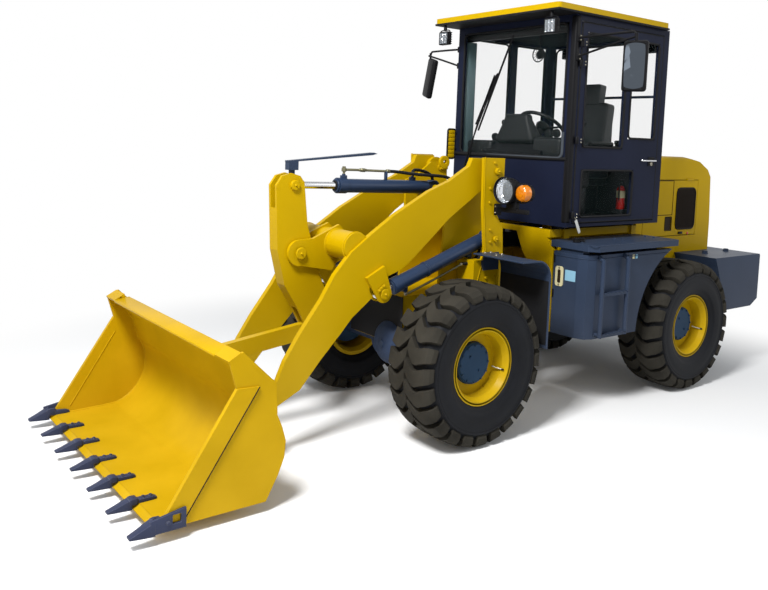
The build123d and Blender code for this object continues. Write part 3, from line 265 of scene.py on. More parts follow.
# %% A finish maker
def finish(slot, name, colour, rough, metal=0.0, peel=0.05, peel_size=300.0, mottle=0.06,
           mottle_size=2.2, edge=0.003, wear=0.0, worn=(0.35, 0.35, 0.36), dust=0.0,
           shine=0.07):
    """A painted, moulded or machined surface: mottled tone, fine relief, worn edges, dust."""
    tree, shader = blank_material(name, slot)
    place = add_node(tree, "TexCoord").outputs["Object"]
    broad = noise(tree, place, mottle_size, 6.0)
    shown = tinted(tree, colour, ramp(tree, broad, 1 - mottle, 1 + mottle, 0.3, 0.7))
    bevel = add_node(tree, "Bevel", {"Radius": edge})
    bevel.samples = 4
    rounded = bevel.outputs["Normal"]
    if wear:
        flat = add_node(tree, "NewGeometry").outputs["Normal"]
        bend = add_node(tree, "VectorMath", {0: flat, 1: rounded}, "DOT_PRODUCT")
        near = maths(tree, "SUBTRACT", 1.0, bend.outputs["Value"])
        rubbed = maths(tree, "MULTIPLY", near, noise(tree, place, 38.0, 4.0))
        shown = mix_colours(tree, ramp(tree, rubbed, 0.0, wear, 0.02, 0.14), shown, worn)
    if dust:
        height = add_node(tree, "SeparateXYZ", {0: place}).outputs["Z"]
        low = ramp(tree, height, 0.0, dust, 1.1, 0.1)
        shown = mix_colours(tree, maths(tree, "MULTIPLY", low, broad), shown, DUST)
    relief = add_node(tree, "Bump", {
        "Strength": peel, "Distance": 0.001, "Normal": rounded,
        "Height": noise(tree, place, peel_size, 3.0),
    })
    feed(tree, shader, {
        "Base Color": shown, "Metallic": metal, "Specular IOR Level": shine,
        "Roughness": ramp(tree, broad, max(rough - 0.07, 0.02), min(rough + 0.1, 1.0)),
        "Normal": relief.outputs["Normal"],
    })


print("finish maker ready")

# %% [markdown]
# Yellow and slate paint cover most of the loader. The bucket and its teeth are rubbed
# bare along their edges, so their finishes have some wear.

# %% Paints
finish("yellow", "yellow_paint", (0.455, 0.288, 0.0008), 0.32, mottle=0.05, dust=0.08,
       shine=0.06)
finish("yellow", "bucket_yellow", (0.470, 0.285, 0.0010), 0.32, mottle=0.08, mottle_size=3.5,
       wear=0.25, worn=(0.33, 0.20, 0.02), dust=0.05, shine=0.05)
finish("slate", "slate_paint", (0.025, 0.038, 0.068), 0.36, mottle=0.10, dust=0.10, shine=0.09)
# The cab and its door take the slate paint made about three times darker, which paints the shade on the cab's
# walls into its colour.
finish("slate", "cab_slate", (0.0085, 0.0115, 0.0270), 0.32, mottle=0.10, shine=0.05)
finish("slate", "cylinder_slate", (0.017, 0.031, 0.066), 0.28, mottle=0.08, shine=0.16)
finish("slate", "tooth_slate", (0.017, 0.027, 0.066), 0.38, mottle=0.15, wear=0.4, dust=0.10,
       shine=0.10)
finish("slate", "post_teal", (0.100, 0.160, 0.170), 0.30, mottle=0.12, shine=0.3)
finish("hub_blue", "hub_blue_paint", (0.020, 0.048, 0.095), 0.42, peel=0.12, mottle=0.12)
finish("iron", "axle_blue", (0.030, 0.045, 0.085), 0.48, peel=0.5, peel_size=120, mottle=0.15)
print("paints", ", ".join(FINISHES))

# %% [markdown]
# Rubber and moulded plastic are matt and nearly black. Their relief is stronger and
# coarser than paint's, and the seat's vinyl has the most gloss of them.

# %% Rubber, plastic and metal
finish("tyre", "tyre_rubber", (0.0060, 0.0066, 0.0085), 0.55, peel=0.20, peel_size=160,
       mottle=0.25, mottle_size=6.0, edge=0.006, shine=0.12)
finish("tyre", "tread_rubber", (0.028, 0.0255, 0.0205), 0.78, peel=0.35, peel_size=160,
       mottle=0.30, mottle_size=6.0, edge=0.006, shine=0.07)
finish("rubber", "black_rubber", (0.012, 0.012, 0.013), 0.60, peel=0.15)
finish("rubber", "ceiling_felt", (0.0075, 0.0130, 0.0150), 0.90, peel=0.3, shine=0.02)
finish("rubber", "grey_rubber", (0.050, 0.058, 0.068), 0.60, peel=0.15)
finish("black_plastic", "black_plastic", (0.0075, 0.0075, 0.0085), 0.42, peel=0.25,
       peel_size=600)
finish("black_plastic", "cab_black", (0.0060, 0.0072, 0.0080), 0.45, peel=0.25,
       peel_size=600, shine=0.22)
finish("black_plastic", "grille_brown", (0.022, 0.014, 0.008), 0.55, peel=0.2, mottle=0.2)
finish("black_plastic", "label_white", (0.55, 0.56, 0.54), 0.40, peel=0.02, mottle=0.03)
finish("black_plastic", "label_blue", (0.22, 0.42, 0.55), 0.40, peel=0.02, mottle=0.03)
finish("black_plastic", "gauge_cream", (0.55, 0.50, 0.30), 0.40, peel=0.04, mottle=0.04)
finish("black_plastic", "extinguisher_red", (0.42, 0.015, 0.012), 0.25, mottle=0.03, shine=0.3)
finish("seat_fabric", "seat_vinyl", (0.010, 0.014, 0.015), 0.27, peel=0.35, peel_size=420,
       mottle=0.12, shine=0.34)
finish("chrome", "chrome_rod", (0.62, 0.63, 0.65), 0.12, metal=1.0, peel=0.01, mottle=0.02)
finish("steel", "plated_steel", (0.30, 0.28, 0.22), 0.35, metal=1.0, peel=0.05, mottle=0.15)
finish("steel", "brass_fitting", (0.16, 0.15, 0.09), 0.40, metal=0.6, peel=0.05, mottle=0.15)
print("finishes", len(FINISHES))

# %% [markdown]
# Cab glass is nearly clear, so it takes a low alpha and keeps its gloss. A refracting
# glass would be truer in a vase, but behind it the cab's inside would go dark.

# %% Glass and lamp lenses
def lens(slot, name, colour, rough, alpha=1.0, metal=0.0, painted_glow=0.0, cell=0.0):
    """A glossy see-through or mirrored finish, with a pressed pattern where cell is given."""
    tree, shader = blank_material(name, slot)
    place = add_node(tree, "TexCoord").outputs["Object"]
    haze = noise(tree, place, 4.0)
    feed(tree, shader, {
        "Base Color": tinted(tree, colour, ramp(tree, haze, 0.94, 1.06)),
        "Roughness": ramp(tree, haze, rough, rough + 0.06),
        "Metallic": metal, "Alpha": alpha,
        "Specular IOR Level": 0.5 if metal or alpha == 1.0 else 0.2,
        "Emission Strength": painted_glow, "Emission Color": (*colour, 1),
    })
    if cell:
        facets = add_node(tree, "TexVoronoi", {"Vector": place, "Scale": cell})
        bump = add_node(tree, "Bump", {"Strength": 0.8, "Distance": 0.004,
                                       "Height": facets.outputs["Distance"]})
        feed(tree, shader, {"Normal": bump.outputs["Normal"]})


lens("glass", "cab_glass_pane", (0.04, 0.07, 0.07), 0.02, alpha=0.035)
lens("glass", "lamp_cover", (0.60, 0.66, 0.72), 0.03, alpha=0.12)
# The amber and red lenses take a faint painted glow; the red one also dresses the hood's reflectors, which hold no
# lamp.
lens("glass", "amber_lens", (0.52, 0.15, 0.003), 0.10, painted_glow=0.02, cell=46)
lens("glass", "red_lens", (0.45, 0.02, 0.01), 0.12, painted_glow=0.05, cell=70)
lens("chrome", "lamp_reflector", (0.80, 0.82, 0.86), 0.08, metal=1.0, cell=60)
lens("chrome", "mirror_glass", (0.085, 0.10, 0.12), 0.05, metal=1.0, cell=14)
print("lenses", [name for name in FINISHES if "lens" in name])

# %% [markdown]
# The CAD nodes that keep their shape get their finish here, by the record's slot or, for
# a few, by their own name.

# %% Paint the CAD nodes
SLOT_PAINT = {
    "yellow": "yellow_paint", "slate": "slate_paint", "hub_blue": "hub_blue_paint",
    "tyre": "tyre_rubber", "rubber": "black_rubber", "glass": "cab_glass_pane",
    "chrome": "chrome_rod", "steel": "plated_steel", "black_plastic": "black_plastic",
    "seat_fabric": "seat_vinyl", "iron": "axle_blue",
}
OWN_PAINT = {
    "bucket": "bucket_yellow", "bucket_teeth": "tooth_slate",
    "cab": "cab_slate", "cab_door": "cab_slate",
}
for part in frame["record"]["subparts"]:
    name = part["node"]
    paint = OWN_PAINT.get(name, SLOT_PAINT[part["material_slot"]])
    if "barrel" in name:
        paint = "cylinder_slate"
    NODES[name].data.materials.clear()
    NODES[name].data.materials.append(FINISHES[paint][0])
print("painted", len(NODES), "nodes")

# %% [markdown]
# ## Tools for the pieces
# Most pieces start as a primitive at its size and place. Edit-mode operators work on
# what is selected, so faces are picked in code by where they are and where they look.

# %% Picking
def start():
    """Object mode with nothing selected."""
    if bpy.context.object and bpy.context.object.mode != "OBJECT":
        bpy.ops.object.mode_set(mode="OBJECT")
    bpy.ops.object.select_all(action="DESELECT")


def only(piece):
    """This piece alone selected and active."""
    start()
    piece.select_set(True)
    bpy.context.view_layer.objects.active = piece


def open_all(piece):
    """Edit mode with everything selected."""
    only(piece)
    bpy.ops.object.mode_set(mode="EDIT")
    bpy.ops.mesh.select_all(action="SELECT")


def clear_picks(piece, kind):
    """Nothing of this piece selected, ready for picking faces or corners in code."""
    open_all(piece)
    bpy.ops.mesh.select_mode(type=kind)
    bpy.ops.mesh.select_all(action="DESELECT")
    close()


def open_faces(piece, wanted):
    """Edit mode, with the faces selected whose centre and normal pass the test."""
    clear_picks(piece, "FACE")
    for face in piece.data.polygons:
        face.select = bool(wanted(face.center, face.normal))
    bpy.ops.object.mode_set(mode="EDIT")


def open_points(piece, wanted):
    """Edit mode, with the corners selected whose place passes the test."""
    clear_picks(piece, "VERT")
    for point in piece.data.vertices:
        point.select = bool(wanted(point.co))
    bpy.ops.object.mode_set(mode="EDIT")


def close():
    """Back to object mode."""
    bpy.ops.object.mode_set(mode="OBJECT")


print("picking tools ready")

# %% [markdown]
# A finished piece gets its name, its finish and the CAD body that it rides on. Its
# place and scale are written into the mesh first, so that the noise keeps its size.

# %% Finishing
def settle():
    """Writes the active piece's place, turn and scale into its mesh."""
    bpy.ops.object.transform_apply(location=True, rotation=True, scale=True)


def dress(piece, name, body, paint, smooth=35):
    """Names a finished piece, gives it a finish and lets it ride on a CAD body."""
    only(piece)
    settle()
    piece.name = piece.data.name = name
    material, slot = FINISHES[paint]
    piece.data.materials.clear()
    piece.data.materials.append(material)
    bpy.ops.object.shade_smooth_by_angle(angle=math.radians(smooth))
    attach(piece, body)
    return piece


def joined(pieces):
    """Several loose pieces as one object."""
    start()
    for piece in pieces:
        piece.select_set(True)
    bpy.context.view_layer.objects.active = pieces[0]
    bpy.ops.object.join()
    return bpy.context.object


print("finishing tools ready")

# %% [markdown]
# Three kinds of stock make most of the pieces: blocks with rounded edges, turned work
# like that of a lathe, and pipes along a line. A block stands for plate and castings.
# Its bevel is real and not only shaded, as its edges are wide enough to show.

# %% Blocks
def block(low, high, soften=0.004, rounds=2):
    """A box with rounded edges between two opposite corners."""
    start()
    bpy.ops.mesh.primitive_cube_add(size=1, location=[(a + b) / 2 for a, b in zip(low, high)])
    piece = bpy.context.object
    piece.scale = [abs(b - a) for a, b in zip(low, high)]
    settle()
    open_all(piece)
    bpy.ops.mesh.bevel(offset=soften, segments=rounds, affect="EDGES")
    close()
    return piece


print("blocks ready")

# %% [markdown]
# Round work starts from half its section, a line of corners that is spun round its own
# axis. A stack of cylinders would need a boolean at each step of the outline; a spun
# line gives every shoulder and groove in one go.

# %% Turned work
def linked(data):
    """A new object in the scene for this mesh or curve."""
    piece = bpy.data.objects.new("stock", data)
    bpy.context.scene.collection.objects.link(piece)
    return piece


def loose(corners, edges, faces):
    """A piece straight from its corners, edges and faces."""
    mesh = bpy.data.meshes.new("stock")
    mesh.from_pydata(corners, edges, faces)
    return linked(mesh)


def facing(direction):
    """The turn that brings +Z to a direction."""
    return Vector(direction).normalized().to_track_quat("Z", "Y").to_matrix().to_4x4()


def turned(outline, place, direction, steps=32):
    """An outline of (height, radius) points, spun round its axis like work in a lathe."""
    piece = loose([(r, 0, h) for h, r in outline],
                  [(i, i + 1) for i in range(len(outline) - 1)], [])
    open_all(piece)
    bpy.ops.mesh.spin(steps=steps, angle=2 * math.pi, center=(0, 0, 0), axis=(0, 0, 1))
    bpy.ops.mesh.select_all(action="SELECT")
    bpy.ops.mesh.remove_doubles(threshold=0.00002)
    bpy.ops.mesh.normals_make_consistent(inside=False)
    close()
    piece.data.transform(Matrix.Translation(place) @ facing(direction))
    return piece


print("turned work ready")

# %% [markdown]
# Hoses, pipes and bars are curves with a round section, made meshes at the end. A curve
# keeps its section round through every bend, which an extruded mesh doesn't.

# %% Pipes
def pipe(points, radius, bend=3, sides=4, closed=False):
    """A round pipe, hose or bar along a line. Without bend its corners stay sharp."""
    curve = bpy.data.curves.new("line", "CURVE")
    curve.dimensions = "3D"
    line = curve.splines.new("NURBS" if bend else "POLY")
    line.points.add(len(points) - 1)
    for knot, point in zip(line.points, points):
        knot.co = (*point, 1)
    line.use_cyclic_u = closed
    if bend:
        line.order_u = bend
        line.use_endpoint_u = True
        line.resolution_u = 6
    curve.bevel_depth = radius
    curve.bevel_resolution = sides
    curve.use_fill_caps = True
    only(linked(curve))
    bpy.ops.object.convert(target="MESH")
    return bpy.context.object


print("pipes ready")

# %% [markdown]
# A bolt head is a hexagon with a chamfered top, turned in six steps. A row of bolts is
# one head copied to every place, so all of them are the same and the work is done once.

# %% Bolts
def bolts(name, places, direction, size, body, paint="plated_steel"):
    """One bolt head modelled once and copied to every place, joined in one piece."""
    washer, flat, chamfer = size * 0.62, size * 0.5, size * 0.42
    first = turned([(0, 0), (0, washer), (size * 0.10, washer), (size * 0.12, flat),
                    (chamfer, flat), (flat, chamfer), (flat, 0)], (0, 0, 0), direction, 6)
    heads = []
    for place in places:
        head = linked(first.data.copy())
        head.data.transform(Matrix.Translation(place))
        heads.append(head)
    bpy.data.objects.remove(first)
    return dress(joined(heads), name, body, paint, 25)


print("bolts ready")

# %% [markdown]
# ## Tyres
# A loader tyre has a smooth carcass and wide rubber blocks with narrow grooves between
# them. The blocks of the two halves meet in a zigzag at the crown. The carcass is spun
# from its section. One block is shaped, then copied round both halves; a texture could
# fake the blocks, but they make the wheel's outline, so they are real.

# %% Tyre carcass
WHEELS = {"front_left": 1, "front_right": -1, "rear_left": 1, "rear_right": -1}
CARCASS = [
    (-0.150, 0.2540), (-0.166, 0.2620), (-0.176, 0.2800), (-0.181, 0.3000),
    (-0.187, 0.3040), (-0.190, 0.3200), (-0.1955, 0.3500), (-0.1965, 0.3800),
    (-0.1940, 0.4060), (-0.1960, 0.4110), (-0.1930, 0.4180), (-0.1972, 0.4215),
    (-0.1984, 0.4260), (-0.1972, 0.4305), (-0.1915, 0.4345), (-0.1820, 0.4440),
    (-0.1700, 0.4650), (-0.1450, 0.4850), (-0.1000, 0.4960), (0.0, 0.4980),
]


def carcass(place):
    """The smooth part of a tyre: bead, sidewall with two rings, and the tread's base."""
    section = CARCASS + [(-y, r) for y, r in reversed(CARCASS[:-1])] + [CARCASS[0]]
    return turned(section, place, (0, 1, 0), steps=96)


print("carcass section", len(CARCASS), "points")

# %% [markdown]
# One tread block is a row of four-sided slices from the crown out and down over the
# shoulder. Each slice has its own offset round the tyre, which gives the block its
# swept inner half.

# %% Tread block
BLOCKS_A_SIDE = 24
BLOCK_PITCH = 2 * math.pi / BLOCKS_A_SIDE
FOOT_FLARE = 1.10       # a block is this much longer at its foot
tyre_low, tyre_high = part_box("tyre_front_left")
FOOT_REACH = (tyre_high.y - tyre_low.y) / 2 - 0.020
SLICES = [
    # y, outer radius, inner radius, offset in pitches, share of the pitch
    (-0.004, 0.5300, 0.488, -0.46, 0.60), (0.036, 0.5300, 0.488, -0.14, 0.68),
    (0.074, 0.5296, 0.488, 0.10, 0.72), (0.100, 0.5285, 0.486, 0.12, 0.73),
    (0.140, 0.5240, 0.480, 0.00, 0.73), (0.172, 0.5150, 0.464, -0.06, 0.71),
    (0.1950, 0.4880, 0.444, -0.10, 0.68), (0.1995, 0.4560, 0.430, -0.12, 0.60),
]


def polar(radius, angle):
    """How far a point at this radius and angle lies along and across."""
    return radius * math.cos(angle), radius * math.sin(angle)


def tread_block(angle, half):
    """The corners of one block on the left (1) or right (-1) half of a tyre."""
    corners = []
    for y, outer, inner, offset, share in SLICES:
        middle = angle + offset * BLOCK_PITCH
        reach = share * BLOCK_PITCH / 2
        foot_y = min(y, FOOT_REACH)
        for radius, depth, spread in ((inner, foot_y, -FOOT_FLARE), (outer, y, -1),
                                      (outer, y, 1), (inner, foot_y, FOOT_FLARE)):
            up, along = polar(radius, middle + spread * reach)
            corners.append((along, half * depth, up))
    return corners


print("tread block", len(tread_block(0, 1)), "corners")

# %% [markdown]
# All the blocks of a tyre are one mesh. Its faces follow from the order of the corners:
# each slice is joined to the next one, and the two ends are closed. An array modifier
# could repeat the block too, but here both halves come from the same few lines.

# %% Tyres
def slice_faces(count):
    """The faces that join a row of four-cornered slices and close its two ends."""
    faces = []
    for base in range(0, 4 * count - 4, 4):
        for k in range(4):
            near, far = base + k, base + (k + 1) % 4
            faces.append((near, far, far + 4, near + 4))
    return faces + [(3, 2, 1, 0), tuple(range(4 * count - 4, 4 * count))]


def outwards(piece):
    """Turns every face of a piece to look outwards."""
    open_all(piece)
    bpy.ops.mesh.normals_make_consistent(inside=False)
    close()


def tread(place):
    """All blocks of a tyre as one mesh, the halves half a pitch apart."""
    corners, faces = [], []
    for half, shift in ((1, 0.0), (-1, 0.5)):
        for count in range(BLOCKS_A_SIDE):
            base = len(corners)
            corners += tread_block((count + shift) * BLOCK_PITCH, half)
            faces += [tuple(base + k for k in face) for face in slice_faces(len(SLICES))]
    piece = loose(corners, [], faces)
    outwards(piece)
    piece.data.transform(Matrix.Translation(place))
    return piece


def middle_of(node):
    """The middle of a CAD node's box."""
    low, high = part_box(node)
    return (low + high) / 2


for wheel in WHEELS:
    middle = middle_of("tyre_" + wheel)
    body = "wheel_" + wheel
    casing = dress(carcass(middle), "tyre_casing_" + wheel, body, "tyre_rubber", 50)
    dress(tread(middle), "tyre_tread_" + wheel, body, "tread_rubber", 28)
    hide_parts("tyre_" + wheel)
print("tyres", len(WHEELS), "with", 2 * BLOCKS_A_SIDE, "blocks each")

# %% [markdown]
# ## Rim trim
# Each rim carries a lock ring with a narrow split line round its edge, a valve stem,
# and a ring of bolts on the planetary hub's cover.

# %% Rims
def turns(count):
    """The angles that share a full turn evenly."""
    return [2 * math.pi * k / count for k in range(count)]


RIM_FACE = 0.160        # from the wheel's middle out to the lock ring
LOCK_RING = [(-0.006, 0.236), (0.0, 0.2355), (0.003, 0.238), (0.003, 0.2475),
             (0.000, 0.2500), (-0.004, 0.2505), (-0.006, 0.236)]
RING_SEAM = [(-0.001, 0.2290), (0.0012, 0.2290), (0.0012, 0.2308), (-0.001, 0.2308),
             (-0.001, 0.2290)]
VALVE_CAP = [(0, 0.0), (0, 0.0062), (0.014, 0.0062), (0.016, 0.005), (0.016, 0)]
for wheel, side in WHEELS.items():
    out = (0, side, 0)
    middle = middle_of("rim_" + wheel)
    body = "wheel_" + wheel
    face = middle + Vector((0, side * RIM_FACE, 0))
    ring = turned(LOCK_RING, face - Vector((0, side * 0.003, 0)), out, 72)
    dress(ring, "lock_ring_" + wheel, body, "yellow_paint", 40)
    seam = turned(RING_SEAM, face - Vector((0, side * 0.0045, 0)), out, 72)
    dress(seam, "ring_seam_" + wheel, body, "black_rubber", 40)
    hub_low, hub_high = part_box("hub_" + wheel)
    cover = Vector((middle.x, hub_high.y if side > 0 else hub_low.y, middle.z))
    for kind, angles, radius, size in (("hub_cover_bolts_", turns(12), 0.120, 0.014),
                                       ("hub_plugs_", (0.9, 4.0), 0.064, 0.016)):
        spots = [cover + Vector((x, 0, z)) for x, z in (polar(radius, a) for a in angles)]
        bolts(kind + wheel, spots, out, size, body, "hub_blue_paint")
    foot = middle + Vector((-0.168, side * 0.070, -0.040))
    tip = foot + Vector((-0.030, side * 0.060, -0.012))
    stem = pipe([foot, foot + Vector((-0.012, side * 0.030, -0.008)), tip], 0.0055)
    dress(stem, "valve_stem_" + wheel, body, "plated_steel", 40)
    cap = turned(VALVE_CAP, tip, (-0.5, side, -0.1), 12)
    dress(cap, "valve_cap_" + wheel, body, "black_plastic", 30)
print("rims trimmed")

# %% [markdown]
# ## Cab seals
# Each pane sits in a black rubber seal that shows as a soft round bead along its edge.
# A bead is a closed line with a round section, made a mesh. Bevelling the window's own
# edge would give a sharp metal lip instead.

# %% Seal maker
ARC_STEPS = 5


def rounded_loop(low, high, corner):
    """The points of a rectangle from low to high with round corners."""
    (left, bottom), (right, top) = low, high
    loop = []
    for x, y, first in ((right - corner, top - corner, 0), (left + corner, top - corner, 90),
                        (left + corner, bottom + corner, 180),
                        (right - corner, bottom + corner, 270)):
        for k in range(ARC_STEPS + 1):
            along, up = polar(corner, math.radians(first + 90 * k / ARC_STEPS))
            loop.append((x + along, y + up))
    return loop


def bead(low, high, to_space, corner, radius):
    """A round bead along a rounded rectangle from low to high in a plane of its own."""
    points = [to_space(s, t) for s, t in rounded_loop(low, high, corner)]
    return pipe(points, radius, bend=0, sides=3, closed=True)


print("seal maker ready")

# %% [markdown]
# A bead or a plate is drawn flat and then laid on a plane of the machine. Three small
# makers say which plane: a side wall, an end wall or a level top.

# %% Planes
def on_side(y):
    """A wall that looks left or right: s is measured ahead of the steering pin, t is up."""
    return lambda s, t: (STEER_X + s, y, t)


def on_end(x):
    """A wall that looks ahead or back: s is measured to the left, t is up."""
    return lambda s, t: (x, s, t)


def on_top(z):
    """A level plane: s is measured ahead of the steering pin, t to the left."""
    return lambda s, t: (STEER_X + s, t, z)


cab_low, cab_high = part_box("cab")
FRONT_X = cab_high.x
DOOR_FACE = 0.6242
SEAL_RADIUS = 0.0085
FRONT, BACK = on_end(FRONT_X + 0.001), on_end(cab_low.x - 0.001)
RIGHT, DOOR = on_side(cab_low.y - 0.001), on_side(DOOR_FACE)
seals = [
    # name, low corner, high corner, plane, body, corner radius
    ("windscreen_seal", (-0.545, 1.874), (0.545, 2.848), FRONT, "rear_body", 0.045),
    ("rear_window_seal", (-0.545, 1.966), (0.545, 2.832), BACK, "rear_body", 0.045),
    ("right_front_seal", (-0.444, 1.874), (0.084, 2.832), RIGHT, "rear_body", 0.045),
    ("right_rear_seal", (-0.909, 1.934), (-0.526, 2.832), RIGHT, "rear_body", 0.045),
    ("door_front_seal", (-0.444, 1.956), (0.029, 2.784), DOOR, "cab_door_body", 0.030),
    ("door_rear_seal", (-0.854, 2.036), (-0.516, 2.784), DOOR, "cab_door_body", 0.030),
    ("door_lower_seal", (-0.604, 1.436), (0.019, 1.784), DOOR, "cab_door_body", 0.030),
]
for name, low, high, plane, body, corner in seals:
    dress(bead(low, high, plane, corner, SEAL_RADIUS), name, body, "black_rubber")
print("seals", len(seals))

# %% [markdown]
# The door closes against a thinner seal, and a grey trim turns up the windscreen's lower
# left corner. Both are round strips along a line, so they are made like the other seals.

# %% Door seal and windscreen trim
door_edge = bead((-0.907, 1.396), (0.092, 2.855),
                 on_side(DOOR_FACE - 0.004), 0.020, 0.006)
dress(door_edge, "door_edge_seal", "cab_door_body", "black_rubber")
TRIM_LINE = ((-0.560, 1.866), (0.450, 1.866), (0.553, 1.866), (0.553, 1.960), (0.553, 2.060))
trim = pipe([(FRONT_X + 0.004, y, z) for y, z in TRIM_LINE], 0.0115)
dress(trim, "windscreen_sill_trim", "rear_body", "grey_rubber")
print("door seal and trim done")

# %% [markdown]
# The corner post at the door's hinges is a rolled black section with round edges. A
# block with a wide bevel stands for it, just proud of the cab's two faces.

# %% Hinge post and door hinges
HINGE_BARREL = [(0, 0), (0, 0.011), (0.004, 0.0138), (0.024, 0.0138), (0.0255, 0.012),
                (0.027, 0.0138), (0.052, 0.0138), (0.056, 0.011), (0.056, 0)]
post = block(at(0.114, 0.572, 1.392), at(0.1675, 0.6270, 2.900), 0.018, 4)
dress(post, "hinge_post", "rear_body", "black_plastic")
for count, z in enumerate((1.45, 2.0, 2.56, 2.70)):
    barrel = turned(HINGE_BARREL, at(0.112, 0.640, z - 0.028), (0, 0, 1), 20)
    dress(barrel, f"door_hinge_{count}", "cab_door_body", "black_plastic")
    screws = [at(0.074, 0.6465, z + lift) for lift in (-0.011, 0.011)]
    bolts(f"hinge_screws_{count}", screws, (0, 1, 0), 0.010, "cab_door_body")
print("door hinges", count + 1)

# %% [markdown]
# The handle's plate is dished: its face is inset and pushed in, and a chrome grip
# stands over the hollow. A boolean would cut the hollow too, but an inset keeps the
# mesh clean.

# %% Door handle
plate = block(at(-0.872, DOOR_FACE, 1.825), at(-0.792, DOOR_FACE + 0.008, 1.895), 0.003)
open_faces(plate, lambda centre, normal: normal.y > 0.9)
bpy.ops.mesh.inset(thickness=0.012)
bpy.ops.transform.translate(value=(0, -0.004, 0))
close()
dress(plate, "handle_plate", "cab_door_body", "black_plastic")
GRIP_LINE = ((-0.700, 0.004), (-0.702, 0.020), (-0.740, 0.023), (-0.840, 0.023),
             (-0.880, 0.023), (-0.884, 0.004))
grip = pipe([at(x, DOOR_FACE + out, 1.866) for x, out in GRIP_LINE], 0.0065)
dress(grip, "door_handle", "cab_door_body", "chrome_rod")
LOCK = [(0, 0), (0, 0.015), (0.005, 0.015), (0.007, 0.012), (0.007, 0.004), (0.004, 0.004),
        (0.004, 0)]
lock = turned(LOCK, at(-0.832, DOOR_FACE + 0.004, 1.840), (0, 1, 0), 24)
dress(lock, "door_lock", "cab_door_body", "plated_steel")
print("door handle done")

# %% [markdown]
# ## Roof and cab front
# A ribbed sun strip lies on the roof's front edge. It starts as one plane, cut into ribs
# by pushing every other row of faces up, and then gets a wall.

# %% Roof strip
def thicken(piece, thickness, offset=0):
    """Gives a sheet a wall, evenly to both sides or, with offset -1, behind its face."""
    only(piece)
    wall = piece.modifiers.new("wall", "SOLIDIFY")
    wall.thickness = thickness
    wall.offset = offset
    bpy.ops.object.modifier_apply(modifier="wall")


RIBS, STRIP_WIDTH = 48, 0.86
roof_low, roof_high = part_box("cab_roof")
start()
bpy.ops.mesh.primitive_grid_add(x_subdivisions=3, y_subdivisions=RIBS, size=1,
                                location=(roof_high.x - 0.20, -0.02, roof_high.z - 0.010))
strip = bpy.context.object
strip.scale = (0.30, STRIP_WIDTH, 1)
settle()
first_row = -0.02 - STRIP_WIDTH / 2
open_faces(strip, lambda centre, normal:
           math.floor((centre.y - first_row) * RIBS / STRIP_WIDTH) % 2 == 0)
bpy.ops.mesh.extrude_region_move(TRANSFORM_OT_translate={"value": (0, 0, 0.006)})
close()
thicken(strip, 0.003, -1)
dress(strip, "roof_sun_strip", "rear_body", "black_plastic", 20)
print("roof strip faces", len(strip.data.polygons))

# %% [markdown]
# A rolled sill closes the lower edge of the windscreen, and a drip edge runs round the
# roof. The vent's lid is turned, and the rear window's rail is a straight bar.

# %% Sill and roof trim
def path(*places):
    """Points whose x is measured forward from the steering pin."""
    return [at(*place) for place in places]


SILL_LINE = ((-0.60, 1.868), (-0.45, 1.866), (0, 1.862), (0.45, 1.860), (0.60, 1.864))
sill = pipe([(FRONT_X + 0.004, y, z) for y, z in SILL_LINE], 0.013)
dress(sill, "windscreen_sill", "rear_body", "black_rubber")
drip = bead((-0.918, -0.648), (0.392, 0.648), on_top(roof_low.z + 0.004), 0.03, 0.0035)
dress(drip, "roof_drip_edge", "rear_body", "yellow_paint")
LID = [(0, 0.0), (0, 0.115), (0.010, 0.115), (0.018, 0.105), (0.018, 0.0)]
lid = turned(LID, (roof_low.x + 0.62, -0.2, roof_high.z - 0.0185), (0, 0, 1), 36)
dress(lid, "roof_vent_lid", "rear_body", "black_plastic")
bar = pipe(path((-0.962, -0.545, 2.385), (-0.962, 0.545, 2.385)), 0.011, bend=0)
dress(bar, "rear_window_rail", "rear_body", "slate_paint")
print("roof trimmed")

# %% [markdown]
# ## Wipers
# A wiper is a pivot, a sprung arm and a blade. Arms and blades are thin tubes, and
# the blade's rubber is a second, thinner one beneath it.

# %% Wipers
PIVOT = [(0, 0), (0, 0.020), (0.010, 0.020), (0.018, 0.014), (0.026, 0.014), (0.028, 0.011),
         (0.028, 0)]
wipers = (
    # name, foot, knee, where the arm holds the blade, the blade's two ends
    ("left", (-0.463, 1.775), (-0.36, 2.06), (-0.125, 2.500), (-0.330, 2.06), (0.014, 2.800)),
    ("right", (-0.420, 1.790), (-0.40, 2.00), (-0.160, 2.500), (-0.360, 2.11), (-0.135, 2.512)),
)
for name, foot, knee, hold, blade_foot, blade_tip in wipers:
    pivot = turned(PIVOT, (FRONT_X - 0.001, *foot), (1, 0, 0), 20)
    dress(pivot, f"wiper_pivot_{name}", "rear_body", "black_plastic")
    swept = (blade_foot, hold, blade_tip)
    for kind, places, depths, radius, paint in (
            ("arm", (foot, knee, hold), (0.020, 0.026, 0.022), 0.006, "black_plastic"),
            ("blade", swept, (0.014, 0.020, 0.014), 0.0055, "black_plastic"),
            ("rubber", swept, (0.006, 0.008, 0.006), 0.004, "black_rubber")):
        line = [(FRONT_X + depth, *place) for depth, place in zip(depths, places)]
        dress(pipe(line, radius), f"wiper_{kind}_{name}", "rear_body", paint)
print("wipers", len(wipers))

# %% [markdown]
# ## Mirrors
# Each mirror hangs on two tube arms from the front post. Its head is a moulded shell
# with generous corners and a slightly domed glass let into it. A cube with a wide bevel
# makes the shell, and its face is inset for the glass. The pane is a grid whose corners
# are drawn in and whose middle is raised, so that it reflects as a convex mirror does.

# %% Mirror heads
def mirror_shell():
    """A moulded shell round its own middle, with its open face towards -Y."""
    shell = block((-0.083, -0.026, -0.1725), (0.083, 0.026, 0.1725), 0.022, 4)
    open_faces(shell, lambda centre, normal: normal.y < -0.98)
    bpy.ops.mesh.inset(thickness=0.006)
    bpy.ops.transform.translate(value=(0, 0.006, 0))
    close()
    return shell


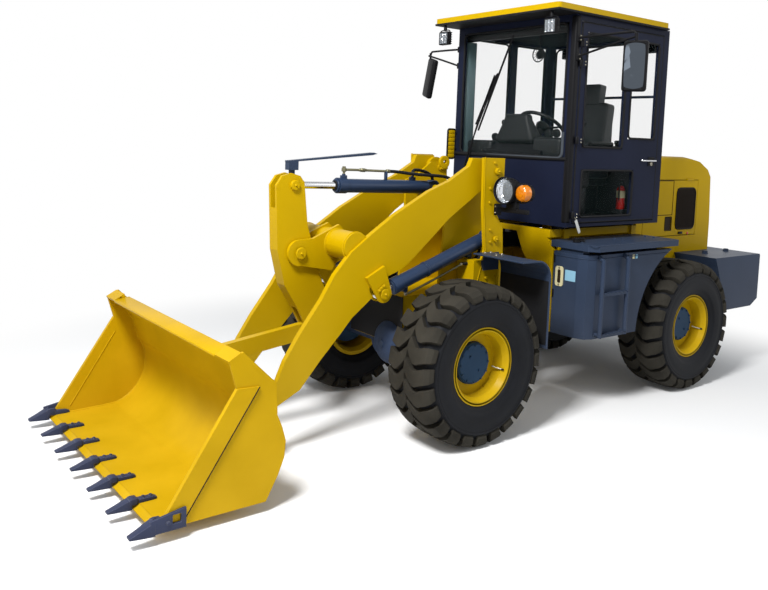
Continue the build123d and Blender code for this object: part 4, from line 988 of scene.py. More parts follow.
def mirror_pane():
    """A slightly domed pane that lies in the shell's open face."""
    start()
    bpy.ops.mesh.primitive_grid_add(x_subdivisions=8, y_subdivisions=14, size=1)
    pane = bpy.context.object
    for point in pane.data.vertices:
        s, t = point.co.x * 2, point.co.y * 2
        squeeze = 1 - 0.10 * (s * s * t * t)
        dome = 0.004 * (1 - s * s) * (1 - t * t)
        point.co = (s * 0.070 * squeeze, -0.0225 - dome, t * 0.155 * squeeze)
    thicken(pane, 0.003, -1)
    outwards(pane)
    return pane


print("mirror parts ready")

# %% [markdown]
# The left mirror stands a little further out than the right one, and the right one also
# leans. Both heads are made round the origin and then turned to look back along the
# loader's side, as it is easier to inset a face that looks straight along an axis.

# %% Mirrors
HEAD_Z, STALK_Z, ARM_HEIGHTS = 2.515, 2.748, (2.735, 2.600)
MIRRORS = (
    # name, side, head's distance out, stalk's distance out, turn and lean in degrees
    ("left", 1, 1.085, 1.085, 115, 0), ("right", -1, 1.052, 1.060, 112, -13),
)
for name, side, head_out, stalk_out, turn, lean in MIRRORS:
    head = at(0.096, side * head_out, HEAD_Z)
    shell, pane = mirror_shell(), mirror_pane()
    for piece in (shell, pane):
        piece.data.transform(Matrix.Translation(head)
                             @ Matrix.Rotation(math.radians(lean), 4, "X")
                             @ Matrix.Rotation(side * math.radians(turn), 4, "Z"))
    dress(shell, f"mirror_shell_{name}", "rear_body", "black_plastic")
    dress(pane, f"mirror_pane_{name}", "rear_body", "mirror_glass")
    stalk = at(0.096, side * stalk_out, STALK_Z)
    upper = pipe([at(0.150, side * 0.630, 2.735), at(0.140, side * 0.75, 2.740),
                  stalk - Vector((0, side * 0.06, 0)), stalk,
                  stalk - Vector((0, 0, 0.07))], 0.0085)
    lower = pipe(path((0.150, side * 0.630, 2.600), (0.12, side * 0.90, 2.672),
                      (0.096, side * 1.080, 2.715)), 0.0080)
    post = pipe([stalk - Vector((0, 0, 0.01)), head + Vector((0, 0, 0.10)),
                 head - Vector((0, 0, 0.12))], 0.0095)
    dress(joined([upper, lower, post]), f"mirror_arms_{name}", "rear_body", "black_plastic")
    clamps = [block(at(0.122, side * 0.619, z - 0.024), at(0.158, side * 0.640, z + 0.024))
              for z in ARM_HEIGHTS]
    dress(joined(clamps), f"mirror_clamps_{name}", "rear_body", "black_plastic")
    spots = [at(0.132, side * 0.640, z + lift) for z in ARM_HEIGHTS for lift in (-0.014, 0.014)]
    bolts(f"clamp_bolts_{name}", spots, (0, side, 0), 0.011, "rear_body")
    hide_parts(f"mirror_{name}")
print("mirrors", len(MIRRORS))

# %% [markdown]
# A small fan hangs inside the windscreen. Its cage is a torus with wire spokes round a
# turned motor. It is made lying flat, where its circles are simple, then stood upright.

# %% Cab fan
FAN_MOTOR = [(-0.020, 0), (-0.020, 0.030), (0.000, 0.034), (0.006, 0.022), (0.014, 0.018),
             (0.018, 0.010), (0.019, 0)]
start()
bpy.ops.mesh.primitive_torus_add(major_radius=0.056, minor_radius=0.0045, major_segments=40,
                                 minor_segments=8, location=(0, 0, 0.012))
cage = bpy.context.object
motor = turned(FAN_MOTOR, (0, 0, 0), (0, 0, 1), 28)
spokes = [pipe([(*polar(0.012, a), 0.017), (*polar(0.035, a), 0.020),
                (*polar(0.056, a), 0.012)], 0.0016) for a in turns(12)]
fan = joined([cage, motor] + spokes)
fan.data.transform(Matrix.Translation(at(0.062, 0.180, 2.640))
                   @ Matrix.Rotation(math.radians(90), 4, "Y"))
stem = pipe(path((0.045, 0.180, 2.640), (0.040, 0.180, 2.720), (0.060, 0.180, 2.860)), 0.006)
dress(joined([fan, stem]), "cab_fan", "rear_body", "black_plastic")
print("fan spokes", len(spokes))

# %% [markdown]
# ## Work lamps
# A square LED work lamp has a finned die-cast body, a bright bezel and a clear cover
# over small cups. Its front is inset and pushed in, and the fins are thin blocks set in
# its back.

# %% Work lamp
STEM = [(0, 0), (0, 0.014), (0.030, 0.014), (0.036, 0.010), (0.052, 0.010), (0.052, 0)]
CUP = [(0.0, 0.0), (0.0005, 0.006), (0.006, 0.0125), (0.008, 0.0145), (0.0065, 0.0145),
       (-0.001, 0.006), (-0.0015, 0.0)]
STIRRUP = ((-0.060, -0.010), (-0.062, 0.055), (-0.040, 0.066), (0.040, 0.066),
           (0.062, 0.055), (0.060, -0.010))
FINS, FIN_STEP = 6, 0.018


def work_lamp(name, middle, way):
    """A square lamp facing forward (1) or back (-1) along X, hung on a stirrup."""
    x, y, z = middle
    shell = block((x - 0.024, y - 0.055, z - 0.053), (x + 0.022, y + 0.055, z + 0.053), 0.008)
    open_faces(shell, lambda centre, normal: normal.x * way > 0.98)
    bpy.ops.mesh.inset(thickness=0.006)
    bpy.ops.transform.translate(value=(-0.007 * way, 0, 0))
    close()
    fins = [block((x - 0.036 * way, y - 0.046, foot), (x - 0.022 * way, y + 0.046, foot + 0.006),
                  0.001, 1) for foot in (z - 0.045 + FIN_STEP * k for k in range(FINS))]
    stirrup = pipe([(x, y + across, z + up) for across, up in STIRRUP], 0.0045)
    stem = turned(STEM, (x, y, z + 0.060), (0, 0, 1), 20)
    whole = dress(joined([shell] + fins + [stirrup, stem]), name + "_shell", "rear_body",
                  "black_plastic")
    cups = [turned(CUP, (x + 0.010 * way, y + column * 0.031, z + row * 0.030), (way, 0, 0), 14)
            for row in (-1, 0, 1) for column in (-1, 0, 1)]
    dress(joined(cups), name + "_cups", "rear_body", "lamp_reflector")
    cover = block((x + 0.0175 * way, y - 0.048, z - 0.046),
                  (x + 0.0205 * way, y + 0.048, z + 0.046), 0.001, 1)
    dress(cover, name + "_cover", "rear_body", "lamp_cover")
    return whole


for name, side in SIDES:
    low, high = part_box("work_lamp_" + name)
    place = ((low.x + high.x) / 2, (low.y + high.y) / 2, low.z + 0.055)
    front_lamp = work_lamp("work_lamp_front_" + name, place, 1)
    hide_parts("work_lamp_" + name)
    work_lamp("work_lamp_rear_" + name, at(-1.010, side * 0.43, 2.800), -1)
print("work lamps", 2 * len(SIDES))

# %% [markdown]
# ## Headlamps
# A headlamp is a black pot with a mirrored bowl, a bulb and a domed clear cover, and
# the amber turn lamp sits beside it. All of them are lathe work, so each is one outline
# spun round its own axis. The carrier between them is a block with wide round edges.

# %% Lamp outlines
POT = [(0, 0), (0, 0.050), (0.012, 0.070), (0.050, 0.087), (0.118, 0.0945), (0.130, 0.0945),
       (0.130, 0.0900), (0.112, 0.0885), (0.060, 0.072), (0.032, 0)]
BOWL = [(0.050, 0), (0.054, 0.025), (0.073, 0.057), (0.097, 0.0785), (0.1130, 0.0865),
        (0.1110, 0.0875), (0.095, 0.0815), (0.070, 0.0600), (0.050, 0.028), (0.046, 0)]
DOME = [(0.1300, 0), (0.1264, 0.051), (0.118, 0.0785), (0.1115, 0.0865), (0.114, 0.0890),
        (0.121, 0.0812), (0.1290, 0.052), (0.1325, 0)]
BEZEL = [(0.118, 0.0905), (0.118, 0.0970), (0.131, 0.0970), (0.1345, 0.0945),
         (0.1345, 0.0910), (0.1310, 0.0890), (0.118, 0.0905)]
BULB = [(0.046, 0), (0.050, 0.011), (0.070, 0.011), (0.084, 0.009), (0.090, 0.004), (0.091, 0)]
TURN_POT = [(0, 0), (0, 0.050), (0.006, 0.060), (0.030, 0.0625), (0.034, 0.0590), (0.034, 0)]
TURN_LENS = [(0.0345, 0), (0.0345, 0.0585), (0.066, 0.0575), (0.080, 0.0510),
             (0.084, 0.0440), (0.085, 0.0430), (0.088, 0.0300), (0.0905, 0.0290),
             (0.0925, 0.0120), (0.093, 0)]
print("lamp outlines ready")

# %% [markdown]
# The lamp's parts share one axis, so a short table gives each outline its steps, finish
# and smoothing angle. The bracket is three small plates.

# %% Headlamps
LAMP_PARTS = (
    ("bowl", BOWL, 48, "lamp_reflector", 60), ("bulb", BULB, 20, "lamp_cover", 35),
    ("glass", DOME, 48, "lamp_cover", 60), ("bezel", BEZEL, 48, "black_rubber", 35),
)
BRACKET = (
    ((0.640, 0.405, 1.477), (0.668, 0.700, 1.508)),
    ((0.640, 0.4055, 1.450), (0.690, 0.434, 1.530)),
    ((0.636, 0.505, 1.500), (0.672, 0.600, 1.560)),
)


def on_one_side(side, place):
    """A place beside the machine, from the one given for its left side."""
    x, y, z = place
    return at(x, side * y, z)


for name, side in SIDES:
    lamp, indicator = at(0.590, side * 0.520, 1.632), at(0.612, side * 0.660, 1.622)
    pot = turned(POT, lamp, (1, 0, 0), 48)
    back = turned(TURN_POT, indicator, (1, 0, 0), 40)
    carrier = block(at(0.598, side * 0.455, 1.548), at(0.678, side * 0.665, 1.690), 0.030, 4)
    whole = dress(joined([pot, back, carrier]), "headlamp_pot_" + name, "front_body",
                  "black_plastic")
    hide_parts("headlamp_" + name)
    for kind, outline, steps, paint, smooth in LAMP_PARTS:
        dress(turned(outline, lamp, (1, 0, 0), steps), f"headlamp_{kind}_{name}", "front_body",
              paint, smooth)
    dress(turned(TURN_LENS, indicator, (1, 0, 0), 48), "turn_lens_" + name, "front_body",
          "amber_lens", 30)
    plates = [block(on_one_side(side, low), on_one_side(side, high), 0.003)
              for low, high in BRACKET]
    dress(joined(plates), "headlamp_bracket_" + name, "front_body", "black_plastic")
    bolts("headlamp_bolts_" + name, [at(0.690, side * 0.420, z) for z in (1.468, 1.512)],
          (1, 0, 0), 0.014, "front_body")
print("headlamps", len(SIDES))

# %% [markdown]
# ## Pins
# Every pivot has a pin with a round head and a grease nipple, and a small keeper plate
# with two bolts holds the lift cylinder's pin. One head is drawn as a lathe outline and
# set at each pivot.

# %% Pin heads
PIN_HEADS = (
    # name, x, distance from the middle, z, body, radius
    ("boom_pin_head", 0.670, 0.4152, 1.760, "front_body", 0.018),
    ("lift_base_head", 0.663, 0.4152, 1.275, "front_body", 0.014),
    ("lift_eye_head", 1.606, 0.3622, 0.950, "boom_body", 0.028),
    ("crank_pin_head", 2.090, 0.0932, 1.210, "crank_pin_body", 0.030),
    ("tilt_eye_head", 2.125, 0.0602, 1.645, "crank_body", 0.024),
    ("link_rear_head", 1.940, 0.0602, 0.688, "crank_body", 0.024),
    ("link_front_head", 2.620, 0.0672, 0.600, "link_pin_body", 0.024),
    ("bucket_pin_head", 2.460, 0.3762, 0.282, "bucket_pin_body", 0.028),
)
KEEPERS = {"lift_eye_head": (0.6, 0.8)}     # which way each keeper lies from its pin


def pin_head(name, place, side, body, radius, keeper):
    """A pin's head at that place, looking out along Y, with its keeper if it has one."""
    out = Vector((0, side, 0))
    rim = radius + 0.009
    pieces = [turned([(0, 0), (0, rim), (0.004, rim), (0.008, radius + 0.004), (0.008, 0.009),
                      (0.011, 0.0065), (0.017, 0.0045), (0.019, 0.003), (0.019, 0)],
                     place, out, 32)]
    if keeper:
        dx, dz = keeper
        middle = place + Vector((dx, 0, dz)) * (radius + 0.024)
        tab = block((-0.034, -0.003, -0.012), (0.034, 0.003, 0.012), 0.003)
        tab.data.transform(Matrix.Translation(middle + out * 0.003)
                           @ Matrix.Rotation(math.atan2(dx, dz), 4, "Y"))
        pieces.append(tab)
        spots = [middle + out * 0.006 + Vector((dz, 0, -dx)) * s for s in (-0.022, 0.022)]
        bolts(name + "_bolts", spots, out, 0.013, body, "yellow_paint")
    dress(joined(pieces), name, body, "yellow_paint")


for name, side in SIDES:
    for kind, x, half, z, body, radius in PIN_HEADS:
        pin_head(f"{kind}_{name}", at(x, side * half, z), side, body, radius,
                 KEEPERS.get(kind))
print("pin heads", len(SIDES) * len(PIN_HEADS))

# %% [markdown]
# ## Towers, boom and lifting eye
# Welded plates are joined by beads, and the towers carry a few bolts. A bead is a thin
# ring or line of steel that keeps the joint from looking pasted on.

# %% Tower bolts and weld beads
TOWER_BOLTS = ((0.718, 1.343), (0.712, 1.256), (0.700, 1.820), (0.735, 1.640),
               (0.735, 1.540), (0.740, 1.000), (0.640, 1.000))
TOWER_SEAM = ((0.7985, 1.86), (0.7885, 1.50), (0.7545, 1.20), (0.850, 0.885))
BOOM_WELDS = (
    # x, distance from the middle, z, then half width and inner, flank and crown radius
    ((1.808, 0.2895, 1.262), (0.0055, 0.0950, 0.0975, 0.1015)),
    ((1.808, 0.0790, 1.262), (0.0055, 0.0950, 0.0975, 0.1015)),
    ((0.670, 0.3310, 1.760), (0.004, 0.0780, 0.0800, 0.0840)),
)


def weld_ring(place, side, steps, half, inner, flank, crown):
    """A ring of weld with a rounded crown, round an axis that looks out along Y."""
    section = [(-half, inner), (-half, flank), (0, crown), (half, flank), (half, inner)]
    return turned(section + section[:1], place, (0, side, 0), steps)


for name, side in SIDES:
    spots = [at(x, side * 0.405, z) for x, z in TOWER_BOLTS]
    bolts("tower_bolts_" + name, spots, (0, side, 0), 0.020, "front_body", "yellow_paint")
    rings = [weld_ring(on_one_side(side, place), side, 48, *sizes)
             for place, sizes in BOOM_WELDS]
    dress(joined(rings), "boom_weld_beads_" + name, "boom_body", "yellow_paint", 60)
    seam = pipe([at(x, side * 0.4060, z) for x, z in TOWER_SEAM], 0.0035, bend=0)
    dress(seam, "tower_edge_bead_" + name, "front_body", "yellow_paint", 60)
print("tower beads done")

# %% [markdown]
# A lifting eye stands on the right tower. The axle's cover is turned with its round belly
# forward, and a thin black sheet paints shade on the frame's nose.

# %% Lifting eye, axle cover and painted shade
EYE = [(-0.012, 0.016), (-0.012, 0.046), (-0.009, 0.050), (0.009, 0.050), (0.012, 0.046),
       (0.012, 0.016), (-0.012, 0.016)]
AXLE_COVER = [(0, 0), (0, 0.172), (0.012, 0.172), (0.016, 0.160), (0.050, 0.156),
              (0.085, 0.138), (0.112, 0.105), (0.126, 0.060), (0.130, 0.030), (0.136, 0.028),
              (0.136, 0)]
COVER_Y, AXLE_Z = 0.160, 0.560
eye = turned(EYE, at(0.640, -0.205, 1.800), (0, 1, 0), 36)
foot = block(at(0.605, -0.216, 1.745), at(0.675, -0.194, 1.790), 0.003)
dress(joined([eye, foot]), "lifting_eye", "front_body", "yellow_paint")
axle_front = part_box("front_axle")[1].x
cover = turned(AXLE_COVER, (axle_front - 0.004, COVER_Y, AXLE_Z), (1, 0, 0), 48)
dress(cover, "front_axle_cover", "front_body", "axle_blue", 40)
spots = [Vector((axle_front + 0.008, COVER_Y + y, AXLE_Z + z))
         for y, z in (polar(0.166, a) for a in turns(16))]
bolts("front_axle_bolts", spots, (1, 0, 0), 0.016, "front_body", "axle_blue")
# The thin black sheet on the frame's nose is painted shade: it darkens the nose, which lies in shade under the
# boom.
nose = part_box("front_frame")[1].x
guard = block((nose + 0.0004, -0.298, 0.562), (nose + 0.0024, 0.298, 0.898), 0.0009, 1)
dress(guard, "front_frame_guard", "front_body", "black_rubber")
print("front frame trimmed")

# %% [markdown]
# ## Fender edges
# The fenders are bent sheet with a rolled rim. The rim is a thin tube that follows the
# sheet's outer edge, and bolts hold the sheet to its hanger.

# %% Fender edges
FENDER_TOP, FENDER_BACK = 1.188, 0.598
SHEET_BEND, RIM_BEND = 0.130, 0.126     # the radius of the sheet's bend and of the rim's
INNER_Y, OUTER_Y = 0.425, 0.880
rim_line = [(0.883, 1.184)]
for angle in range(90, 181, 15):
    along, up = polar(RIM_BEND, math.radians(angle))
    rim_line.append((FENDER_BACK + SHEET_BEND + along, FENDER_TOP - SHEET_BEND + up))
rim_line.append((0.602, 0.577))
for name, side in SIDES:
    rim = pipe([at(x, side * 0.882, z) for x, z in rim_line], 0.0075)
    ends = [pipe([at(x, side * INNER_Y, z), at(x, side * OUTER_Y, z)], 0.0065, bend=0)
            for x, z in ((0.881, 1.184), (0.602, 0.580))]
    dress(joined([rim] + ends), "fender_rim_" + name, "front_body", "slate_paint", 60)
    spots = [at(x, side * y, FENDER_TOP) for y in (0.450, 0.560) for x in (0.745, 0.800)]
    bolts("fender_bolts_" + name, spots, (0, 0, 1), 0.016, "front_body")
    # A thin black sheet on the inner face of the fender's rear panel is painted shade: it darkens the place that
    # the fender itself shades.
    fender_shade_sheet = block(at(0.6068, side * 0.430, 0.600), at(0.6098, side * 0.876, 1.040), 0.001, 1)
    dress(fender_shade_sheet, "fender_liner_" + name, "front_body", "black_rubber")
print("fender rims", len(SIDES))

# %% [markdown]
# ## Hydraulics
# A cylinder has a gland nut with a wiper seal, an oil port at each end of the barrel, a
# steel pipe that carries oil to the far port, and hoses at its base. Pipes are curves
# with a round section. Each stays with its own barrel.

# %% Cylinder tools
def collar(place, direction, inner, outer, length, steps=36):
    """A turned ring with chamfered edges."""
    edge = min(0.003, length / 4)
    return turned([(0, inner), (0, outer - edge), (edge, outer), (length - edge, outer),
                   (length, outer - edge), (length, inner), (0, inner)],
                  place, direction, steps)


def cylinder(base, eye, way, side=1):
    """Directions along and away from a cylinder (up 1, down -1), and a maker of points.

    The maker takes a distance from the base pin, one away from the axis and one outwards.
    """
    along = (eye - base).normalized()
    away = Vector((-along.z, 0, along.x)) * way

    def point(distance, off, y=0.0):
        return base + along * distance + away * off + Vector((0, y * side, 0))

    return along, away, point


def oil_ports(point, away, distances, low, high, neck):
    """A boss and a six-sided neck at each distance along a barrel."""
    ports = []
    for distance in distances:
        boss = block((-0.020, -0.016, low), (0.020, 0.016, high), 0.003)
        boss.data.transform(Matrix.Translation(point(distance, 0.044)))
        ports += [boss, collar(point(distance, 0.068), away, 0.007, 0.0125, neck, 6)]
    return joined(ports)


def oil_line(point, places, radius):
    """A pipe or hose through places beside a cylinder."""
    return pipe([point(*place) for place in places], radius)


print("cylinder tools ready")

# %% [markdown]
# The tilt cylinder lies above the boom, so its ports and its pipe are on top. Two hoses
# leave its base for the frame.

# %% Tilt cylinder
TILT = "tilt_barrel_body"
along, above_axis, tilt_point = cylinder(at(0.930, 0, 1.622), at(2.125, 0, 1.645), 1)
gland = collar(tilt_point(0.840, 0), along, 0.0246, 0.045, 0.014)
dress(gland, "tilt_gland_nut", TILT, "cylinder_slate")
seal = collar(tilt_point(0.854, 0), along, 0.0246, 0.034, 0.006)
dress(seal, "tilt_wiper_seal", TILT, "black_rubber")
ports = oil_ports(tilt_point, above_axis, (0.787, 0.190), 0, 0.026, 0.012)
dress(ports, "tilt_ports", TILT, "cylinder_slate")
line = oil_line(tilt_point, ((0.787, 0.078), (0.787, 0.106), (0.760, 0.108), (0.630, 0.108),
                             (0.500, 0.106), (0.425, 0.106)), 0.0085)
dress(line, "tilt_pipe", TILT, "brass_fitting", 60)
TILT_NUTS = (
    # distance, height above the axis, direction, radius, length
    (0.787, 0.094, above_axis, 0.0170, 0.026), (0.787, 0.120, above_axis, 0.0120, 0.010),
    (0.615, 0.108, along, 0.0150, 0.034), (0.600, 0.108, along, 0.0115, 0.064),
    (0.400, 0.106, along, 0.0150, 0.030), (0.190, 0.082, above_axis, 0.0150, 0.024),
)
nuts = [collar(tilt_point(distance, height), direction, 0.006, radius, length, 6)
        for distance, height, direction, radius, length in TILT_NUTS]
dress(joined(nuts), "tilt_pipe_nuts", TILT, "brass_fitting", 20)
stay = block((-0.008, -0.012, 0.0), (0.008, 0.012, 0.064), 0.003)
stay.data.transform(Matrix.Translation(tilt_point(0.430, 0.042)))
dress(stay, "tilt_pipe_stay", TILT, "cylinder_slate")
TILT_HOSES = (
    ((0.415, 0.106), (0.340, 0.106, 0.004), (0.210, 0.092, 0.030), (0.080, 0.088, 0.060),
     (-0.050, 0.085, 0.085), (-0.110, 0.060, 0.100), (-0.120, -0.020, 0.105)),
    ((0.190, 0.090), (0.188, 0.116, -0.006), (0.130, 0.124, -0.024),
     (-0.010, 0.104, -0.060), (-0.085, 0.060, -0.085), (-0.098, -0.030, -0.100)),
)
hoses = [oil_line(tilt_point, places, 0.0115) for places in TILT_HOSES]
dress(joined(hoses), "tilt_hoses", TILT, "black_rubber", 60)
print("tilt cylinder dressed")

# %% [markdown]
# The two lift cylinders are mirror images. Their ports look down, out of the way of the
# boom, and a strap holds the pipe under each barrel.

# %% Lift cylinders
LIFT_PIPE = ((0.800, 0.078), (0.800, 0.098), (0.770, 0.100), (0.600, 0.100),
             (0.420, 0.100), (0.340, 0.092, 0.012), (0.280, 0.086, 0.020))
LIFT_HOSES = (
    ((0.290, 0.086, 0.020), (0.230, 0.105, 0.026), (0.160, 0.115, 0.030),
     (0.090, 0.095, 0.030), (0.050, 0.055, 0.030)),
    ((0.190, 0.078), (0.188, 0.100), (0.150, 0.118, -0.006), (0.100, 0.100, -0.010),
     (0.062, 0.058, -0.012)),
)
for name, side in SIDES:
    body = f"lift_barrel_{name}_body"
    along, under_axis, lift_point = cylinder(
        at(0.663, side * 0.310, 1.275), at(1.606, side * 0.310, 0.950), -1, side)
    gland = collar(lift_point(0.900, 0), along, 0.0258, 0.048, 0.010)
    dress(gland, f"lift_gland_nut_{name}", body, "cylinder_slate")
    ports = oil_ports(lift_point, under_axis, (0.800, 0.190), -0.030, 0, 0.014)
    dress(ports, f"lift_ports_{name}", body, "cylinder_slate")
    dress(oil_line(lift_point, LIFT_PIPE, 0.0080), f"lift_pipe_{name}", body,
          "brass_fitting", 60)
    nuts = [collar(lift_point(*place), direction, 0.006, 0.0130, 0.018, 6)
            for place, direction in (((0.285, 0.086, 0.020), along),
                                     ((0.800, 0.084), under_axis))]
    dress(joined(nuts), f"lift_pipe_nuts_{name}", body, "plated_steel", 20)
    hoses = [oil_line(lift_point, places, 0.0105) for places in LIFT_HOSES]
    dress(joined(hoses), f"lift_hoses_{name}", body, "black_rubber", 60)
    strap = collar(lift_point(0.585, 0), along, 0.0502, 0.0540, 0.022)
    dress(strap, f"lift_strap_{name}", body, "cylinder_slate")
print("lift cylinders", len(SIDES))

# %% [markdown]
# ## Bucket
# Weld beads run where the bowl's rolled sheet meets the side plates. Each bead is a pipe
# along the bowl's section, partly sunk in both plates.

# %% Bucket beads
bucket_low, bucket_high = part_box("bucket")
TEETH_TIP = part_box("bucket_teeth")[1].x
BAND, SIDE_PLATE = 0.010, 0.016
HALF = (bucket_high.y - bucket_low.y) / 2
INNER = HALF - BAND - SIDE_PLATE        # the side plates' inner faces


def bowl_arc(radius, first, step):
    """The bowl's rolled part in section, from its floor round to its back."""
    points = []
    for angle in range(first, 142, step):
        along, up = polar(radius, math.radians(angle))
        points.append((STEER_X + 3.010 + along, 0.365 + up))
    return points


bowl_line = [(TEETH_TIP - 0.165, 0.0795), (TEETH_TIP - 0.300, 0.0795)]
bowl_line += bowl_arc(0.284, 257, -6)
bowl_line += [(TEETH_TIP - 0.700, 0.636), (TEETH_TIP - 0.545, 0.846)]
beads = [pipe([(x, side * (INNER - 0.003), z) for x, z in bowl_line], 0.006)
         for side in (-1, 1)]
dress(joined(beads), "bucket_weld_beads", "bucket_body", "bucket_yellow", 60)
print("bowl beads", len(beads))

# %% [markdown]
# Two bolts pass through the shank of each tooth, and one through the cheek of each
# corner tooth. The corner teeth sit on the side plates, and the others are spaced
# evenly between them.

# %% Tooth bolts
CORNER_Y = HALF - 0.018
GAPS = 6
CHEEK_FACE = HALF + 0.0162
tooth_ys = [-CORNER_Y + k * 2 * CORNER_Y / GAPS for k in range(1, GAPS)]
heads = [Vector((TEETH_TIP - back, y, z))
         for y in tooth_ys for back, z in ((0.186, 0.1000), (0.224, 0.0988))]
bolts("tooth_bolts", heads, (0, 0, 1), 0.018, "bucket_body", "tooth_slate")
for name, side in reversed(SIDES):
    head = Vector((TEETH_TIP - 0.182, side * CHEEK_FACE, 0.104))
    bolts("corner_tooth_bolts_" + name, [head], (0, side, 0), 0.020, "bucket_body",
          "tooth_slate")
print("tooth bolts", len(heads) + 2)

# %% [markdown]
# Rings of weld go round the ears that the boom holds the bucket by. A dark line shows
# where the side cutter ends, and a thin bead follows it on the side plate's inner face.
# Both are thin bars laid on the surface, which show the joint without cutting it.

# %% Bucket ears and side plates
EAR_WELD = (0.003, 0.0700, 0.0722, 0.0750)
ears = [weld_ring(at(2.460, side * 0.310 + ear * 0.0462, 0.282), 1, 40, *EAR_WELD)
        for side in (-1, 1) for ear in (-1, 1)]
dress(joined(ears), "bucket_ear_beads", "bucket_body", "bucket_yellow", 60)
for name, side in SIDES:
    edge_y, plate_y = side * (HALF - 0.0012), side * (INNER - 0.001)
    gap = pipe([(TEETH_TIP - 0.6655, edge_y, 0.683), (TEETH_TIP - 0.2625, edge_y, 0.0765)],
               0.0036, bend=0)
    dress(gap, "side_cutter_gap_" + name, "bucket_body", "grille_brown", 60)
    weld = pipe(path((2.940, plate_y, 0.590), (3.235, plate_y, 0.122)), 0.0032, bend=0)
    dress(weld, "side_weld_" + name, "bucket_body", "bucket_yellow", 60)
print("bucket ears", len(ears))

# %% [markdown]
# The bowl is one rolled sheet. A line of its section is extruded across the bucket and
# given a thin wall, so that its curve shades as smoothly as rolled steel.

# %% Bowl sheet
SHEET_Y = INNER - 0.0006
section = [(TEETH_TIP - 0.1610, 0.0792), (TEETH_TIP - 0.3450, 0.0794)]
section += bowl_arc(0.2826, 258, -3)
section += [(STEER_X + 2.8300, 0.6890), (STEER_X + 2.9388, 0.8380)]
bowl_sheet = loose([(x, -SHEET_Y, z) for x, z in section],
                   [(k, k + 1) for k in range(len(section) - 1)], [])
open_all(bowl_sheet)
bpy.ops.mesh.select_mode(type="EDGE")
bpy.ops.mesh.select_all(action="SELECT")
bpy.ops.mesh.extrude_edges_move(TRANSFORM_OT_translate={"value": (0, 2 * SHEET_Y, 0)})
close()
outwards(bowl_sheet)
thicken(bowl_sheet, 0.001)
dress(bowl_sheet, "bowl_sheet", "bucket_body", "bucket_yellow", 50)
print("bowl sheet", len(bowl_sheet.data.polygons), "faces")

# %% [markdown]
# A tooth is a forged chisel: it narrows and droops to its tip, and a flat shank with
# two bolts holds it on the lip. It is built as slices from tip to shank, then its edges
# are rounded.

# %% Middle teeth
def forged(slices, middle_y, half_width):
    """A solid through slices of (distance behind the tip, share of the width, low, high)."""
    corners = []
    for back, share, low, high in slices:
        w = half_width * share
        corners += [(TEETH_TIP - back, middle_y + across, z)
                    for across, z in ((-w, low), (w, low), (w, high), (-w, high))]
    piece = loose(corners, [], slice_faces(len(slices)))
    open_all(piece)
    bpy.ops.mesh.normals_make_consistent(inside=False)
    bpy.ops.mesh.bevel(offset=0.0025, segments=2, affect="EDGES")
    close()
    return piece


SLIM_NOSE = [(0.000, 0.70, 0.0590, 0.0690), (0.045, 0.80, 0.0565, 0.0830),
             (0.095, 0.96, 0.0555, 0.1010), (0.122, 1.00, 0.0550, 0.1080)]
SLIM_NECK = [(0.110, 1.00, 0.0790, 0.1075), (0.126, 1.00, 0.0790, 0.1120),
             (0.150, 0.98, 0.0790, 0.1100), (0.158, 0.76, 0.0790, 0.1010)]
SLIM_SHANK = [(0.152, 0.74, 0.0790, 0.1010), (0.236, 0.72, 0.0790, 0.0985),
              (0.256, 0.56, 0.0790, 0.0910)]
TOOTH_HALF = 0.0260
teeth = [forged(slices, y, TOOTH_HALF)
         for y in tooth_ys for slices in (SLIM_NOSE, SLIM_NECK, SLIM_SHANK)]
print("middle teeth", len(tooth_ys))

# %% [markdown]
# The corner teeth are wider and also have a slotted cheek outside the side plate. The
# slot is cut by a boolean, as it goes right through.

# %% Corner teeth
NOSE_SLICES = [(0.000, 0.70, 0.0590, 0.0700), (0.045, 0.80, 0.0550, 0.0890),
               (0.095, 0.96, 0.0530, 0.1130), (0.122, 1.00, 0.0522, 0.1230)]
NECK_SLICES = [(0.110, 1.00, 0.0790, 0.1215), (0.128, 1.00, 0.0790, 0.1262),
               (0.158, 0.98, 0.0790, 0.1240), (0.166, 0.76, 0.0790, 0.1100)]
SHANK_SLICES = [(0.160, 0.74, 0.0790, 0.1110), (0.226, 0.72, 0.0790, 0.1060),
                (0.248, 0.56, 0.0790, 0.0960)]


def cheek_plate(outer, inner):
    """The slotted plate of a corner tooth, between two distances from the middle."""
    cheek = block((TEETH_TIP - 0.275, outer, 0.060), (TEETH_TIP - 0.105, inner, 0.160), 0.003)
    open_points(cheek, lambda co: co.x > TEETH_TIP - 0.15 and co.z > 0.12)
    bpy.ops.transform.translate(value=(0.010, 0, -0.030))
    close()
    hole = block((TEETH_TIP - 0.250, outer - 0.030, 0.092),
                 (TEETH_TIP - 0.205, outer + 0.030, 0.137))
    only(cheek)
    cut = cheek.modifiers.new("hole", "BOOLEAN")
    cut.operation = "DIFFERENCE"
    cut.solver = "EXACT"
    cut.object = hole
    bpy.ops.object.modifier_apply(modifier="hole")
    bpy.data.objects.remove(hole)
    return cheek


for side in (-1, 1):
    outer, inner = side * CHEEK_FACE, side * (INNER - 0.0162)
    teeth += [forged(NOSE_SLICES, (outer + inner) / 2, abs(outer - inner) / 2),
              forged(NECK_SLICES, inner + side * 0.008, 0.008),
              forged(SHANK_SLICES, inner + side * 0.008, 0.0105),
              cheek_plate(outer, outer - side * 0.016)]
whole_teeth = dress(joined(teeth), "forged_teeth", "bucket_body", "tooth_slate", 30)
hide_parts("bucket_teeth")
print("teeth", len(tooth_ys) + 2)

# %% [markdown]
# A flat bar lies along the top of the bowl between its two horns. It slopes down to the
# front, so material rolls off it into the bowl, and it is made as two slices like a tooth.

